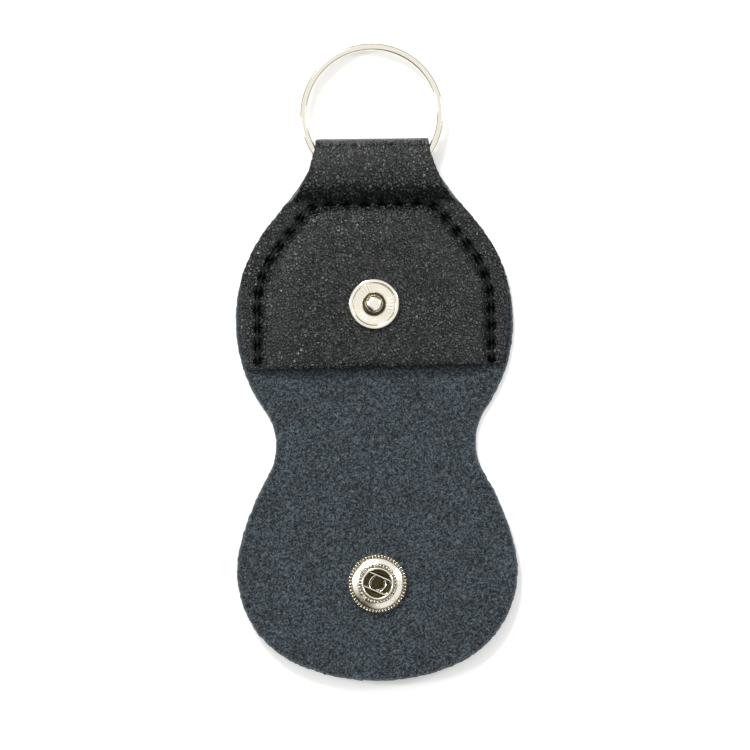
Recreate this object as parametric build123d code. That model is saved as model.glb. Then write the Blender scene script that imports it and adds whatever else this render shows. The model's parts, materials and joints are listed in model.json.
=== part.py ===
from build123d import *
import os
from math import acos, atan2, cos, degrees, hypot, pi, radians, sin, tan

# Pick holder on a key ring. One blank of black coated leather, napped blue-grey on its inner side,
# is folded over a split ring and stitched into a pocket for picks. The rest of the blank is a flap
# that folds at a narrow waist and closes over the pocket's mouth with a ring-spring press stud.
#
# Lengths are millimetres and angles are degrees. The blank is drawn flat, with Y measured from the
# crease at the middle of the waist, and every piece is moved at the end so that the origin is where
# the stud's axis meets the back of the pocket. +Y points to the ring and +Z out of the pocket's front.

# --- leather blank -----------------------------------------------------------------------------
SKIN = 0.4  # coated grain layer, the outside of the holder
NAP = 0.8  # napped base layer, the inside of the holder
SHEET = SKIN + NAP

WAIST_CENTRE = (27.9, 0.0)  # the hollow on each side of the waist
WAIST_RADIUS = 10.5
BODY_CENTRE = (-2.5, 21.4)  # the pocket's round side
NECK_CENTRE = (27.35, 56.0)  # the hollow between the pocket and the ring tab
NECK_RADIUS = 17.95
CHEEK_CENTRE = (-20.1, -28.3)  # the flap's long side
CORNER_CENTRE = (6.72, -22.1)  # the flap's round corner
FLAP_LENGTH = 41.2  # crease to the flap's tip

# --- pocket ------------------------------------------------------------------------------------
MOUTH_Y = 13.4  # the cut edge of the front panel, where picks go in
FRONT_SIDE_RADIUS = 47.4  # the front panel is cut slightly narrower than the back
FRONT_SIDE_Y = 24.0
FRONT_HALF_WIDTH = 23.35
BULGE = 1.6  # the front panel stands this far off the back, for the picks
BULGE_SLOPE = 30.0
BULGE_INSET = 0.9  # from the seam to the foot of the bulge

# --- seam --------------------------------------------------------------------------------------
SEAM_HALF_WIDTH = 20.4
SEAM_START_Y = MOUTH_Y + 0.9
SEAM_SHOULDER_Y = 24.0
SEAM_SHOULDER_RADIUS = 16.0
SEAM_SHOULDER_TURN = 38.0
SEAM_CORNER_RADIUS = 6.0
SEAM_TOP_Y = 42.1
STITCH_PITCH = 3.05
STITCH_GAP = 0.45  # between the ends of neighbouring stitches
THREAD = 0.5
GROOVE_WIDTH = 0.85
GROOVE_DEPTH = 0.3
NEEDLE_RADIUS = 0.28
LEG_RADIUS = 0.2

# --- ring tab and split ring -------------------------------------------------------------------
TAB_TOP_Y = 53.2  # the outside of the fold over the ring
TAB_HALF_WIDTH = 9.9
TAB_FOLD_RADIUS = 1.6  # the inside of that fold
TAB_HINGE_Y = 42.8  # the tab flexes just above the seam
TAB_FLEX_FORWARD = 20.0  # the tab bends this far towards the pocket's front
TAB_FLEX_BACK = 35.0  # and this far the other way
FLEX_SPARE = 2.0
TAB_RAMP_START_Y = 43.0
TAB_RAMP_ANGLE = 60.0
TAB_CEILING_Z = 4.2  # inside of the tab's front, over the ring
RAMP_FOOT_RADIUS = 1.4
RAMP_HEAD_RADIUS = 0.6

RING_RADIUS = 12.5
RING_WIDTH = 1.2  # of the flattened wire, across the ring
RING_THICKNESS = 0.9  # of the wire, along the ring's axis
COIL_GAP = 0.04
RING_CENTRE_Y = 57.25
RING_TILT = 3.6  # down to its far end
RING_EDGE_RADIUS = 0.3
CROSSOVER_AT = -90.0  # the wire climbs from one coil to the other at the near side, inside the tab
CROSSOVER = 14.0  # half of the angle that the climb takes
CROSSOVER_STEPS = 4

# --- press stud --------------------------------------------------------------------------------
SNAP_TO_CREASE = 24.3
STUD_RADIUS = 4.37
STUD_RIM = 0.9  # height of the stud's raised rim over the leather
STUD_DISH = 0.6  # height of the face inside the rim, at the collar
STUD_NECK_RADIUS = 1.05
STUD_NECK_TOP = 1.5
BALL_RADIUS = 1.5
BALL_TOP = 2.65
SHANK_RADIUS = 0.75
SHANK_BORE = 0.78
SHANK_TOP = 1.9
RIVET_RADIUS = 3.6
RIVET_THICKNESS = 0.35

SOCKET_RADIUS = 5.2
SOCKET_HEIGHT = 2.7
SOCKET_RIM = 1.1
MOUTH_RADIUS = 2.4
BASE_THICKNESS = 0.3
BASE_RADIUS = 4.7
CHANNEL_RADIUS = 2.9
CHANNEL_TOP = SOCKET_HEIGHT - 0.4
CHANNEL_HEIGHT = 0.5
SPRING_WIRE_RADIUS = 0.18
SPRING_LEG_OFFSET = 1.3
SPRING_LOOP_REACH = 2.5  # from the socket's axis to the outside of the loop that joins the legs
SPRING_LOOP_RADIUS = 1.0
SPRING_TIP_REACH = 2.3  # from the axis to the legs' free ends
SPRING_TURN = 24.0  # the legs' angle across the socket

POST_RADIUS = 1.2
POST_BORE = 0.98
POST_CLEARANCE = 0.03
FLARE_RADIUS = 1.67
FLARE_THICKNESS = 0.35
CAP_RADIUS = 5.2
CAP_HEIGHT = 1.1
CAP_WALL = 0.3
CAP_SHOULDER = 1.8  # how far in from its edge the cap's flat middle begins
CLOSED_GAP = 0.15  # between the socket's lip and the stud's face when the flap is shut

# --- waist -------------------------------------------------------------------------------------
FOLDS = 3  # the waist bends at three lines, a third of the turn at each
CUT_GAP = 0.02
FRONT_TOP = SHEET + BULGE + SHEET
CLOSED_RISE = BULGE + SHEET + STUD_DISH + CLOSED_GAP + SOCKET_HEIGHT
FOLD_TURN = 180.0 / FOLDS
FOLD_PITCH = CLOSED_RISE / (2 * sin(radians(FOLD_TURN)))
REST_BEND = 1.05  # at each fold line while the flap lies on its cap
FOLD_LINES = [FOLD_PITCH, 0.0, -FOLD_PITCH]

os.makedirs("parts", exist_ok=True)


# --- drawing helpers ---------------------------------------------------------------------------
def between(start, end, distance):
    """The point that lies this far from start, on the way to end."""
    span = hypot(end[0] - start[0], end[1] - start[1])
    return tuple(a + (b - a) * distance / span for a, b in zip(start, end))


def arc_about(centre, start, end):
    """The arc shorter than a half turn, about a centre, from start to end."""
    radius = hypot(start[0] - centre[0], start[1] - centre[1])
    middle = [(a + b) / 2 for a, b in zip(start, end)]
    return ThreePointArc(start, between(centre, middle, radius), end)


def distance(a, b):
    return hypot(b[0] - a[0], b[1] - a[1])


def mirrored(edges):
    return [edge.mirror(Plane.YZ) for edge in edges]


def slab(face, low, high):
    """The face, drawn at height 0, as a plate from one height to the other."""
    return extrude(Pos(0, 0, low) * face, amount=high - low, dir=(0, 0, 1))


def strip(low, high, half_width=40.0):
    """A wide rectangle that covers one stretch of the blank's length."""
    return Pos(0, (low + high) / 2) * Rectangle(2 * half_width, high - low)


def turned(points):
    """The solid of revolution whose section is a closed list of (radius, height) points."""
    section = make_face(Polyline(*[(r, 0, z) for r, z in points], close=True))
    return revolve(section, Axis.Z, 360)


# --- outlines of the blank ---------------------------------------------------------------------
def neck_tangent(body_radius):
    """The straight stretch of the shoulder: where it leaves the body's arc and where it meets the neck's."""
    span = distance(BODY_CENTRE, NECK_CENTRE)
    heading = atan2(NECK_CENTRE[1] - BODY_CENTRE[1], NECK_CENTRE[0] - BODY_CENTRE[0])
    normal = heading - acos((body_radius + NECK_RADIUS) / span)
    direction = (cos(normal), sin(normal))
    leaves = tuple(c + body_radius * d for c, d in zip(BODY_CENTRE, direction))
    meets = tuple(c - NECK_RADIUS * d for c, d in zip(NECK_CENTRE, direction))
    return leaves, meets


def blank_outline():
    """The whole blank, from the ring tab's fold line to the flap's tip."""
    waist = (WAIST_CENTRE[0] - WAIST_RADIUS, 0.0)

    body_radius = distance(BODY_CENTRE, WAIST_CENTRE) - WAIST_RADIUS
    hip = between(WAIST_CENTRE, BODY_CENTRE, WAIST_RADIUS)
    shoulder, neck = neck_tangent(body_radius)
    tab_drop = TAB_TOP_Y - NECK_CENTRE[1]
    tab = (NECK_CENTRE[0] - (NECK_RADIUS**2 - tab_drop**2) ** 0.5, TAB_TOP_Y)

    cheek_radius = distance(CHEEK_CENTRE, WAIST_CENTRE) - WAIST_RADIUS
    cheek = between(WAIST_CENTRE, CHEEK_CENTRE, WAIST_RADIUS)
    corner_radius = cheek_radius - distance(CHEEK_CENTRE, CORNER_CENTRE)
    jowl = between(CHEEK_CENTRE, CORNER_CENTRE, cheek_radius)
    depth = corner_radius - FLAP_LENGTH
    tip_centre_y = (depth**2 - CORNER_CENTRE[0] ** 2 - CORNER_CENTRE[1] ** 2) / (
        2 * (depth - CORNER_CENTRE[1])
    )
    tip_centre = (0.0, tip_centre_y)
    chin = between(tip_centre, CORNER_CENTRE, tip_centre_y + FLAP_LENGTH)

    right = [
        arc_about(NECK_CENTRE, tab, neck),
        Line(neck, shoulder),
        arc_about(BODY_CENTRE, shoulder, hip),
        arc_about(WAIST_CENTRE, hip, waist),
        arc_about(WAIST_CENTRE, waist, cheek),
        arc_about(CHEEK_CENTRE, cheek, jowl),
        arc_about(CORNER_CENTRE, jowl, chin),
    ]
    tip = ThreePointArc(chin, (0, -FLAP_LENGTH), (-chin[0], chin[1]))
    top = Line(tab, (-tab[0], tab[1]))
    return make_face(right + mirrored(right) + [tip, top])


def front_outline(blank):
    """The front panel, from its mouth to the tab's hinge line, cut narrower than the back at its sides."""
    offset = FRONT_SIDE_RADIUS - FRONT_HALF_WIDTH
    sides = Pos(offset, FRONT_SIDE_Y) * Circle(FRONT_SIDE_RADIUS)
    sides &= Pos(-offset, FRONT_SIDE_Y) * Circle(FRONT_SIDE_RADIUS)
    return blank & sides & strip(MOUTH_Y, TAB_HINGE_Y - CUT_GAP)


def seam_half():
    """The seam's right half, from the mouth up to the middle of its top."""
    turn = radians(SEAM_SHOULDER_TURN)
    shoulder_centre = (SEAM_HALF_WIDTH - SEAM_SHOULDER_RADIUS, SEAM_SHOULDER_Y)
    start = (SEAM_HALF_WIDTH, SEAM_START_Y)
    shoulder = (SEAM_HALF_WIDTH, SEAM_SHOULDER_Y)
    slope = tuple(
        c + SEAM_SHOULDER_RADIUS * d for c, d in zip(shoulder_centre, (cos(turn), sin(turn)))
    )
    corner_y = SEAM_TOP_Y - SEAM_CORNER_RADIUS
    rise = corner_y + SEAM_CORNER_RADIUS * sin(turn) - slope[1]
    corner = (slope[0] - rise * tan(turn), slope[1] + rise)
    corner_centre = (corner[0] - SEAM_CORNER_RADIUS * cos(turn), corner_y)
    top = (corner_centre[0], SEAM_TOP_Y)
    return [
        Line(start, shoulder),
        arc_about(shoulder_centre, shoulder, slope),
        Line(slope, corner),
        arc_about(corner_centre, corner, top),
        Line(top, (0, SEAM_TOP_Y)),
    ]


def seam_line():
    """The seam as one wire, up one side of the pocket, across under the tab and down the other."""
    half = seam_half()
    return Wire(half + mirrored(half))


def bulge_outline():
    """The foot of the bulge: inside the seam, and carried on past the mouth so that it stays open there."""
    half = seam_half()
    past = MOUTH_Y - 10.0
    low = (SEAM_HALF_WIDTH, past)
    edges = half + [Line(low, (SEAM_HALF_WIDTH, SEAM_START_Y))]
    closed = make_face(edges + mirrored(edges) + [Line(low, (-SEAM_HALF_WIDTH, past))])
    return offset(closed, amount=-BULGE_INSET)


# --- leather -----------------------------------------------------------------------------------
def bulge(foot, low):
    """The raised field of the pocket's front, standing on a plane at this height."""
    return extrude(Pos(0, 0, low) * foot, amount=BULGE, taper=90 - BULGE_SLOPE)


def seam_channel(line, low, high):
    """The groove that the seam pulls into the grain."""
    return slab(trace(line, line_width=GROOVE_WIDTH), low, high)


def stitch_marks(line):
    """The needle holes' places along the seam, as shares of its length."""
    count = round(line.length / STITCH_PITCH)
    return [n / count for n in range(count + 1)]


def needle_holes(line):
    """The holes of the seam, through all four layers."""
    tall = 2 * SHEET + 2
    return [
        Pos(p.X, p.Y, SHEET) * Cylinder(NEEDLE_RADIUS, tall)
        for p in (line @ share for share in stitch_marks(line))
    ]


def front_panel(blank, line):
    """The pocket's front: its grain layer and its napped layer."""
    outline = front_outline(blank)
    foot = bulge_outline()
    mouth_side = slab(strip(MOUTH_Y, TAB_HINGE_Y), 0, 2 * FRONT_TOP)
    hollow, middle, top = (bulge(foot, SHEET + height) for height in (0, NAP, SHEET))
    post_hole = Pos(0, SNAP_TO_CREASE, FRONT_TOP) * Cylinder(SHANK_RADIUS + 0.1, 2 * SHEET)
    cuts = needle_holes(line) + [post_hole]
    nap = (slab(outline, SHEET, SHEET + NAP) + (middle & mouth_side)) - hollow
    skin = (slab(outline, SHEET + NAP, 2 * SHEET) + (top & mouth_side)) - middle
    skin -= seam_channel(line, 2 * SHEET - GROOVE_DEPTH, 2 * SHEET + 0.1)
    return skin - cuts, nap - cuts


def back_panel(blank, line):
    """The pocket's back, from the tab's hinge line to the first fold line of the waist."""
    outline = blank & strip(FOLD_LINES[0] + CUT_GAP, TAB_HINGE_Y - CUT_GAP)
    holes = needle_holes(line)
    skin = slab(outline, 0, SKIN) - seam_channel(line, -0.1, GROOVE_DEPTH)
    return skin - holes, slab(outline, SKIN, SHEET) - holes


def waist_strip(blank, number):
    """One of the two strips between the waist's fold lines."""
    outline = blank & strip(FOLD_LINES[number] + CUT_GAP, FOLD_LINES[number - 1] - CUT_GAP)
    return slab(outline, 0, SKIN), slab(outline, SKIN, SHEET)


def flap_panel(blank):
    """The flap, beyond the last fold line, with the hole for the cap's post."""
    outline = blank & strip(-FLAP_LENGTH - 1, FOLD_LINES[-1] - CUT_GAP)
    outline -= Pos(0, -SNAP_TO_CREASE) * Circle(POST_RADIUS + POST_CLEARANCE)
    return slab(outline, 0, SKIN), slab(outline, SKIN, SHEET)


def shifted(points, spread):
    """The bent line through these points, moved this far to its left."""
    normals = []
    for a, b in zip(points, points[1:]):
        run = distance(a, b)
        normals.append(((a[1] - b[1]) / run, (b[0] - a[0]) / run))
    corners = []
    for point, before, after in zip(points[1:], normals, normals[1:]):
        share = spread / (1 + before[0] * after[0] + before[1] * after[1])
        corners.append(tuple(p + share * (m + n) for p, m, n in zip(point, before, after)))
    first = tuple(p + spread * n for p, n in zip(points[0], normals[0]))
    last = tuple(p + spread * n for p, n in zip(points[-1], normals[-1]))
    return [first] + corners + [last]


def tab_line(spread):
    """The tab in its side view, this far out from its inside: up the front ply and round the ring fold."""
    centre = (TAB_TOP_Y - SHEET - TAB_FOLD_RADIUS, SHEET + TAB_FOLD_RADIUS)
    rise = TAB_CEILING_Z - SHEET
    head = (TAB_RAMP_START_Y + rise / tan(radians(TAB_RAMP_ANGLE)), TAB_CEILING_Z)
    heading = atan2(head[1] - centre[1], head[0] - centre[0])
    tangent = heading - acos(TAB_FOLD_RADIUS / distance(head, centre))
    touch = tuple(c + TAB_FOLD_RADIUS * n for c, n in zip(centre, (cos(tangent), sin(tangent))))
    foot = (TAB_RAMP_START_Y, SHEET)
    points = shifted([(TAB_HINGE_Y - 1.5, SHEET), foot, head, touch], spread)
    bends = [RAMP_FOOT_RADIUS - spread, RAMP_HEAD_RADIUS + spread]
    ply = FilletPolyline(*points, radius=bends)
    crown = (centre[0] + TAB_FOLD_RADIUS + spread, centre[1])
    fold = ThreePointArc(points[-1], crown, (centre[0], SHEET - spread))
    return ply.edges() + [fold], points[0], (centre[0], SHEET - spread)


def tab_layer(blank, near, far):
    """A layer of the tab, between two distances out from its inside."""
    half = 16.0
    reach = 6.0
    lean_up, lean_down = (reach * tan(radians(turn + FLEX_SPARE)) for turn in (TAB_FLEX_FORWARD, TAB_FLEX_BACK))
    root = TAB_HINGE_Y + CUT_GAP
    end = TAB_TOP_Y + reach
    inner, inner_root, inner_end = tab_line(near)
    outer, outer_root, outer_end = tab_line(far)
    front = make_face(outer + inner + [Line(inner_root, outer_root), Line(inner_end, outer_end)])
    rear = make_face(Polyline(inner_end, outer_end, (root - 1, SHEET - far), (root - 1, SHEET - near), close=True))
    room = make_face(
        Polyline(
            (root, SHEET),
            (root + lean_up, SHEET + reach),
            (end, SHEET + reach),
            (end, SHEET - reach),
            (root + lean_down, SHEET - reach),
            close=True,
        )
    )
    side_view = Plane(origin=(-half, 0, 0), x_dir=(0, 1, 0), z_dir=(1, 0, 0))
    outline = slab(blank & strip(TAB_HINGE_Y, TAB_TOP_Y + 1), -1, 10)
    plies = [extrude(side_view * (ply & room), amount=2 * half) for ply in (front, rear)]
    return (plies[0] + plies[1]) & outline


# --- seam thread -------------------------------------------------------------------------------
def thread_side(line, low, leg_low, leg_high):
    """One thread of the lockstitch: a bar for each stitch, and a leg down each needle hole."""
    marks = stitch_marks(line)
    pieces = []
    for first, second in zip(marks, marks[1:]):
        start, end = line @ first, line @ second
        run = end - start
        bar = SlotOverall(run.length - STITCH_GAP, THREAD)
        heading = degrees(atan2(run.Y, run.X))
        middle = (start + end) / 2
        pieces.append(slab(Pos(middle.X, middle.Y) * Rot(0, 0, heading) * bar, low, low + 0.26))
    for share in marks:
        p = line @ share
        leg = Cylinder(LEG_RADIUS, leg_high - leg_low, align=(Align.CENTER, Align.CENTER, Align.MIN))
        pieces.append(Pos(p.X, p.Y, leg_low) * leg)
    return Compound(children=[Part(piece.wrapped) for piece in pieces])


# --- split ring --------------------------------------------------------------------------------
def ring_section(angle, height):
    """The wire's section at one angle round the ring."""
    mean = RING_RADIUS - RING_WIDTH / 2
    turn = radians(angle)
    outward = (cos(turn), sin(turn), 0)
    plane = Plane(
        origin=(mean * outward[0], mean * outward[1], height),
        x_dir=outward,
        z_dir=(-outward[1], outward[0], 0),
    )
    return plane * RectangleRounded(RING_WIDTH, RING_THICKNESS, RING_EDGE_RADIUS)


def split_ring():
    """Two turns of flattened wire, with the climb between them hidden inside the tab."""
    level = (RING_THICKNESS + COIL_GAP) / 2
    turns = 360 - 2 * CROSSOVER
    lower, upper = (
        revolve(ring_section(CROSSOVER_AT + CROSSOVER, z), Axis.Z, turns) for z in (-level, level)
    )
    steps = [n / CROSSOVER_STEPS for n in range(-CROSSOVER_STEPS, CROSSOVER_STEPS + 1)]
    climb = [ring_section(CROSSOVER_AT + CROSSOVER * n, level * n) for n in steps]
    return lower + upper + loft(climb, ruled=True)


def ring_place():
    """How the ring lies: level with the tab's fold where it leaves the tab, and lower at its far end."""
    mean = RING_RADIUS - RING_WIDTH / 2
    past_tab = (mean**2 - TAB_HALF_WIDTH**2) ** 0.5
    height = SHEET + TAB_FOLD_RADIUS - past_tab * tan(radians(RING_TILT))
    return Pos(0, RING_CENTRE_Y, height) * Rot(-RING_TILT, 0, 0)


# --- press stud --------------------------------------------------------------------------------
def stud():
    """The male half, on the pocket's front: a dished flange with a raised rim and a ball on a neck."""
    rim_inner = STUD_RADIUS - 0.35
    groove = 3.7
    profile = [
        (SHANK_BORE, 0),
        (STUD_RADIUS - 0.1, 0),
        (STUD_RADIUS, 0.1),
        (STUD_RADIUS, STUD_RIM - 0.15),
        (STUD_RADIUS - 0.15, STUD_RIM),
        (rim_inner, STUD_RIM),
        (groove + 0.1, STUD_RIM - 0.2),
        (groove, STUD_RIM - 0.25),
        (groove - 0.15, STUD_RIM - 0.15),
        (2.9, STUD_DISH),
        (1.86, STUD_DISH - 0.1),
        (1.75, STUD_DISH),
        (STUD_NECK_RADIUS + 0.2, STUD_DISH + 0.1),
        (STUD_NECK_RADIUS, STUD_DISH + 0.3),
        (STUD_NECK_RADIUS, STUD_NECK_TOP),
        (BALL_RADIUS - 0.1, STUD_NECK_TOP + 0.25),
        (BALL_RADIUS, STUD_NECK_TOP + 0.5),
        (BALL_RADIUS - 0.15, BALL_TOP - 0.4),
        (BALL_RADIUS - 0.55, BALL_TOP - 0.12),
        (BALL_RADIUS - 1.0, BALL_TOP),
        (0, BALL_TOP),
        (0, SHANK_TOP + 0.02),
        (SHANK_BORE, SHANK_TOP + 0.02),
    ]
    return Pos(0, SNAP_TO_CREASE, FRONT_TOP) * turned(profile)


def stud_rivet():
    """The rivet inside the pocket: a flat head under the front panel and a shank up into the stud."""
    head_top = SHEET + BULGE
    shank_top = FRONT_TOP + SHANK_TOP
    profile = [
        (0, head_top - RIVET_THICKNESS),
        (RIVET_RADIUS - 0.15, head_top - RIVET_THICKNESS),
        (RIVET_RADIUS, head_top - RIVET_THICKNESS / 2),
        (RIVET_RADIUS - 0.1, head_top),
        (SHANK_RADIUS, head_top),
        (SHANK_RADIUS, shank_top),
        (0, shank_top),
    ]
    return Pos(0, SNAP_TO_CREASE, 0) * turned(profile)


def socket_shell():
    """The female half's pressed shell: knurled rim, sloping face, rolled lip, and the spring's channel."""
    channel_low = CHANNEL_TOP - CHANNEL_HEIGHT
    profile = [
        (BASE_RADIUS + 0.01, 0),
        (SOCKET_RADIUS - 0.15, 0),
        (SOCKET_RADIUS, 0.15),
        (SOCKET_RADIUS, SOCKET_RIM - 0.15),
        (SOCKET_RADIUS - 0.15, SOCKET_RIM),
        (4.7, SOCKET_RIM + 0.1),
        (3.4, SOCKET_HEIGHT - 0.75),
        (MOUTH_RADIUS + 0.65, SOCKET_HEIGHT - 0.4),
        (MOUTH_RADIUS + 0.45, SOCKET_HEIGHT - 0.05),
        (MOUTH_RADIUS + 0.3, SOCKET_HEIGHT),
        (MOUTH_RADIUS + 0.15, SOCKET_HEIGHT),
        (MOUTH_RADIUS, SOCKET_HEIGHT - 0.12),
        (MOUTH_RADIUS, CHANNEL_TOP),
        (CHANNEL_RADIUS, CHANNEL_TOP),
        (CHANNEL_RADIUS, channel_low),
        (MOUTH_RADIUS, channel_low),
        (MOUTH_RADIUS, BASE_THICKNESS + 0.4),
        (BASE_RADIUS - 0.6, BASE_THICKNESS + 0.01),
        (BASE_RADIUS + 0.01, BASE_THICKNESS + 0.01),
    ]
    return turned(profile)


def socket_base():
    """The plate inside the shell that the cap's post is flared over."""
    plate = Cylinder(BASE_RADIUS, BASE_THICKNESS, align=(Align.CENTER, Align.CENTER, Align.MIN))
    return plate - Cylinder(POST_RADIUS + POST_CLEARANCE, 2)


def socket_spring():
    """The wire spring: two straight legs across the mouth, joined at one end inside the channel."""
    height = CHANNEL_TOP - CHANNEL_HEIGHT / 2
    run = FilletPolyline(
        (-SPRING_TIP_REACH, SPRING_LEG_OFFSET, height),
        (SPRING_LOOP_REACH, SPRING_LEG_OFFSET, height),
        (SPRING_LOOP_REACH, -SPRING_LEG_OFFSET, height),
        (-SPRING_TIP_REACH, -SPRING_LEG_OFFSET, height),
        radius=SPRING_LOOP_RADIUS,
    )
    section = Plane(origin=run @ 0, z_dir=run % 0) * Circle(SPRING_WIRE_RADIUS)
    return Rot(0, 0, -SPRING_TURN) * sweep(section, path=run)


def cap_post():
    """The post that holds cap, flap and socket together: a disc in the cap and a tube flared over the base."""
    disc_low = -CAP_HEIGHT + CAP_WALL
    flare_low = SHEET + BASE_THICKNESS
    profile = [
        (0, disc_low),
        (CAP_RADIUS - CAP_WALL - 0.9, disc_low),
        (CAP_RADIUS - CAP_WALL - 0.4, disc_low + 0.3),
        (CAP_RADIUS - CAP_WALL - 0.4, -0.01),
        (POST_RADIUS, -0.01),
        (POST_RADIUS, flare_low),
        (FLARE_RADIUS - 0.1, flare_low),
        (FLARE_RADIUS, flare_low + FLARE_THICKNESS / 2),
        (FLARE_RADIUS - 0.2, flare_low + FLARE_THICKNESS),
        (POST_BORE + 0.2, flare_low + FLARE_THICKNESS),
        (POST_BORE, flare_low + FLARE_THICKNESS - 0.15),
        (POST_BORE, disc_low + 0.35),
        (0, disc_low + 0.35),
    ]
    return turned(profile)


def snap_cap():
    """The domed cap on the outside of the flap."""
    flat_radius = CAP_RADIUS - CAP_SHOULDER
    inside_radius = CAP_RADIUS - CAP_WALL
    ceiling = CAP_WALL - CAP_HEIGHT - 0.01
    profile = [
        (0, -CAP_HEIGHT),
        (flat_radius, -CAP_HEIGHT),
        (CAP_RADIUS - 0.4, -CAP_HEIGHT + 0.5),
        (CAP_RADIUS, -0.3),
        (CAP_RADIUS, 0),
        (inside_radius, 0),
        (inside_radius, -0.3),
        (inside_radius - 0.3, ceiling + 0.28),
        (flat_radius + 0.7, ceiling),
        (0, ceiling),
    ]
    return turned(profile)


# --- assembly ----------------------------------------------------------------------------------
def settle(shape, folds=0):
    """Moves a piece drawn flat to its place: bent at the first fold lines, then to the stud's origin."""
    for line_y in reversed(FOLD_LINES[:folds]):
        hinge = Pos(0, line_y, SHEET)
        shape = hinge * Rot(-REST_BEND, 0, 0) * hinge.inverse() * shape
    return Pos(0, -SNAP_TO_CREASE, 0) * shape


def build():
    blank = blank_outline()
    line = seam_line()
    flap_snap = Pos(0, -SNAP_TO_CREASE, 0)
    on_flap_nap = Pos(0, -SNAP_TO_CREASE, SHEET)
    top_bar = 2 * SHEET - GROOVE_DEPTH + 0.02

    front_skin, front_nap = front_panel(blank, line)
    back_skin, back_nap = back_panel(blank, line)
    flap_skin, flap_nap = flap_panel(blank)
    parts = {
        "front_panel_leather": settle(front_skin),
        "front_panel_suede": settle(front_nap),
        "back_panel_leather": settle(back_skin),
        "back_panel_suede": settle(back_nap),
        "ring_tab_leather": settle(tab_layer(blank, NAP, SHEET)),
        "ring_tab_suede": settle(tab_layer(blank, 0, NAP)),
        "flap_leather": settle(flap_skin, FOLDS),
        "flap_suede": settle(flap_nap, FOLDS),
        "seam_top_thread": settle(thread_side(line, top_bar, SHEET + 0.01, top_bar + 0.1)),
        "seam_bobbin_thread": settle(thread_side(line, 0.02, 0.1, SHEET - 0.01)),
        "split_ring": settle(ring_place() * split_ring()),
        "snap_stud": settle(stud()),
        "snap_stud_rivet": settle(stud_rivet()),
        "snap_socket_shell": settle(on_flap_nap * socket_shell(), FOLDS),
        "snap_socket_base": settle(on_flap_nap * socket_base(), FOLDS),
        "snap_socket_spring": settle(on_flap_nap * socket_spring(), FOLDS),
        "snap_cap": settle(flap_snap * snap_cap(), FOLDS),
        "snap_cap_post": settle(flap_snap * cap_post(), FOLDS),
    }
    for number in (1, 2):
        skin, nap = waist_strip(blank, number)
        parts[f"waist_{number}_leather"] = settle(skin, number)
        parts[f"waist_{number}_suede"] = settle(nap, number)
    return parts


def main():
    for name, shape in build().items():
        export_step(shape, f"parts/{name}.step")


if __name__ == "__main__":
    main()
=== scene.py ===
"""A leather pick holder on a split ring, lying open, built round its CAD frame as an add-on's operators."""

import json
import math

import bpy
import numpy as np
from bpy.props import FloatProperty, FloatVectorProperty, PointerProperty
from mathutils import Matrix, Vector, noise
from mathutils.geometry import delaunay_2d_cdt
from mathutils.kdtree import KDTree


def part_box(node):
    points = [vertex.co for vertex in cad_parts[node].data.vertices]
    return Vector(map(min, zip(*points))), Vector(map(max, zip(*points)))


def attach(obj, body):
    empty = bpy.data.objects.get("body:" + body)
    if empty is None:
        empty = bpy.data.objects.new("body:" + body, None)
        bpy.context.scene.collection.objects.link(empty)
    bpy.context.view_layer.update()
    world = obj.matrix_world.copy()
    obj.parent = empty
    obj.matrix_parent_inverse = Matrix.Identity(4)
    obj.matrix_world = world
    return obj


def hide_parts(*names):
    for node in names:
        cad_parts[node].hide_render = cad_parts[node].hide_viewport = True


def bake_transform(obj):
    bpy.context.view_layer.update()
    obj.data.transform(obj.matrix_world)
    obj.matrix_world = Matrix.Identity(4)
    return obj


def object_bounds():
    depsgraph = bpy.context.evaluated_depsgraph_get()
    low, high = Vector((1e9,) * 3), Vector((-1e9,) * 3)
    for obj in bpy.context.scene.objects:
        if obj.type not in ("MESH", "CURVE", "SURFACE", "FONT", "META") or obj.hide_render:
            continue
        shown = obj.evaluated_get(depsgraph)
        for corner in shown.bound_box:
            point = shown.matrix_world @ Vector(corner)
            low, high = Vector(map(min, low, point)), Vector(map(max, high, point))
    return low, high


bl_info = {
    "name": "Pick holder",
    "version": (1, 0, 0),
    "blender": (4, 5, 0),
    "location": "3D View > Sidebar > Pick holder",
    "description": "Builds a folding leather pick holder with a split ring and a press stud",
    "category": "Add Mesh",
}

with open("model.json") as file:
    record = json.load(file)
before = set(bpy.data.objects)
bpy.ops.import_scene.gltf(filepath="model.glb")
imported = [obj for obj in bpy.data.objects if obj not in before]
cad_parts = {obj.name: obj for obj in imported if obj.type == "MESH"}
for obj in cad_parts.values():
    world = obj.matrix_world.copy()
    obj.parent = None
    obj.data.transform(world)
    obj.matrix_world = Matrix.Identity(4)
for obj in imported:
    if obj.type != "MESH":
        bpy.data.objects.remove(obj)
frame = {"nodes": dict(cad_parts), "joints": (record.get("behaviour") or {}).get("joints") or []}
CAD_BOX = [list(corner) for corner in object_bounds()]
JOINTS = {joint["name"]: joint for joint in frame["joints"]}

MM = 0.001


def frame_point(name):
    """A joint's place in millimetres."""
    return tuple(value / MM for value in JOINTS[name]["pos_m"])


# The blank is drawn in millimetres, with y measured from the crease at the middle of the waist.
CREASE_Y = round(frame_point("flap_fold_2")[1], 1)
FOLD_YS = [round(frame_point(f"flap_fold_{n}")[1] - CREASE_Y, 3) for n in (1, 2, 3)]
FOLD_PITCH = FOLD_YS[0] - FOLD_YS[1]
ZONE_STARTS = [y + FOLD_PITCH / 2 for y in FOLD_YS]
REST_BEND = math.radians(1.05)

SHEET = 1.2
NAP = 0.8
LAYER_GAP = 0.004

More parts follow.
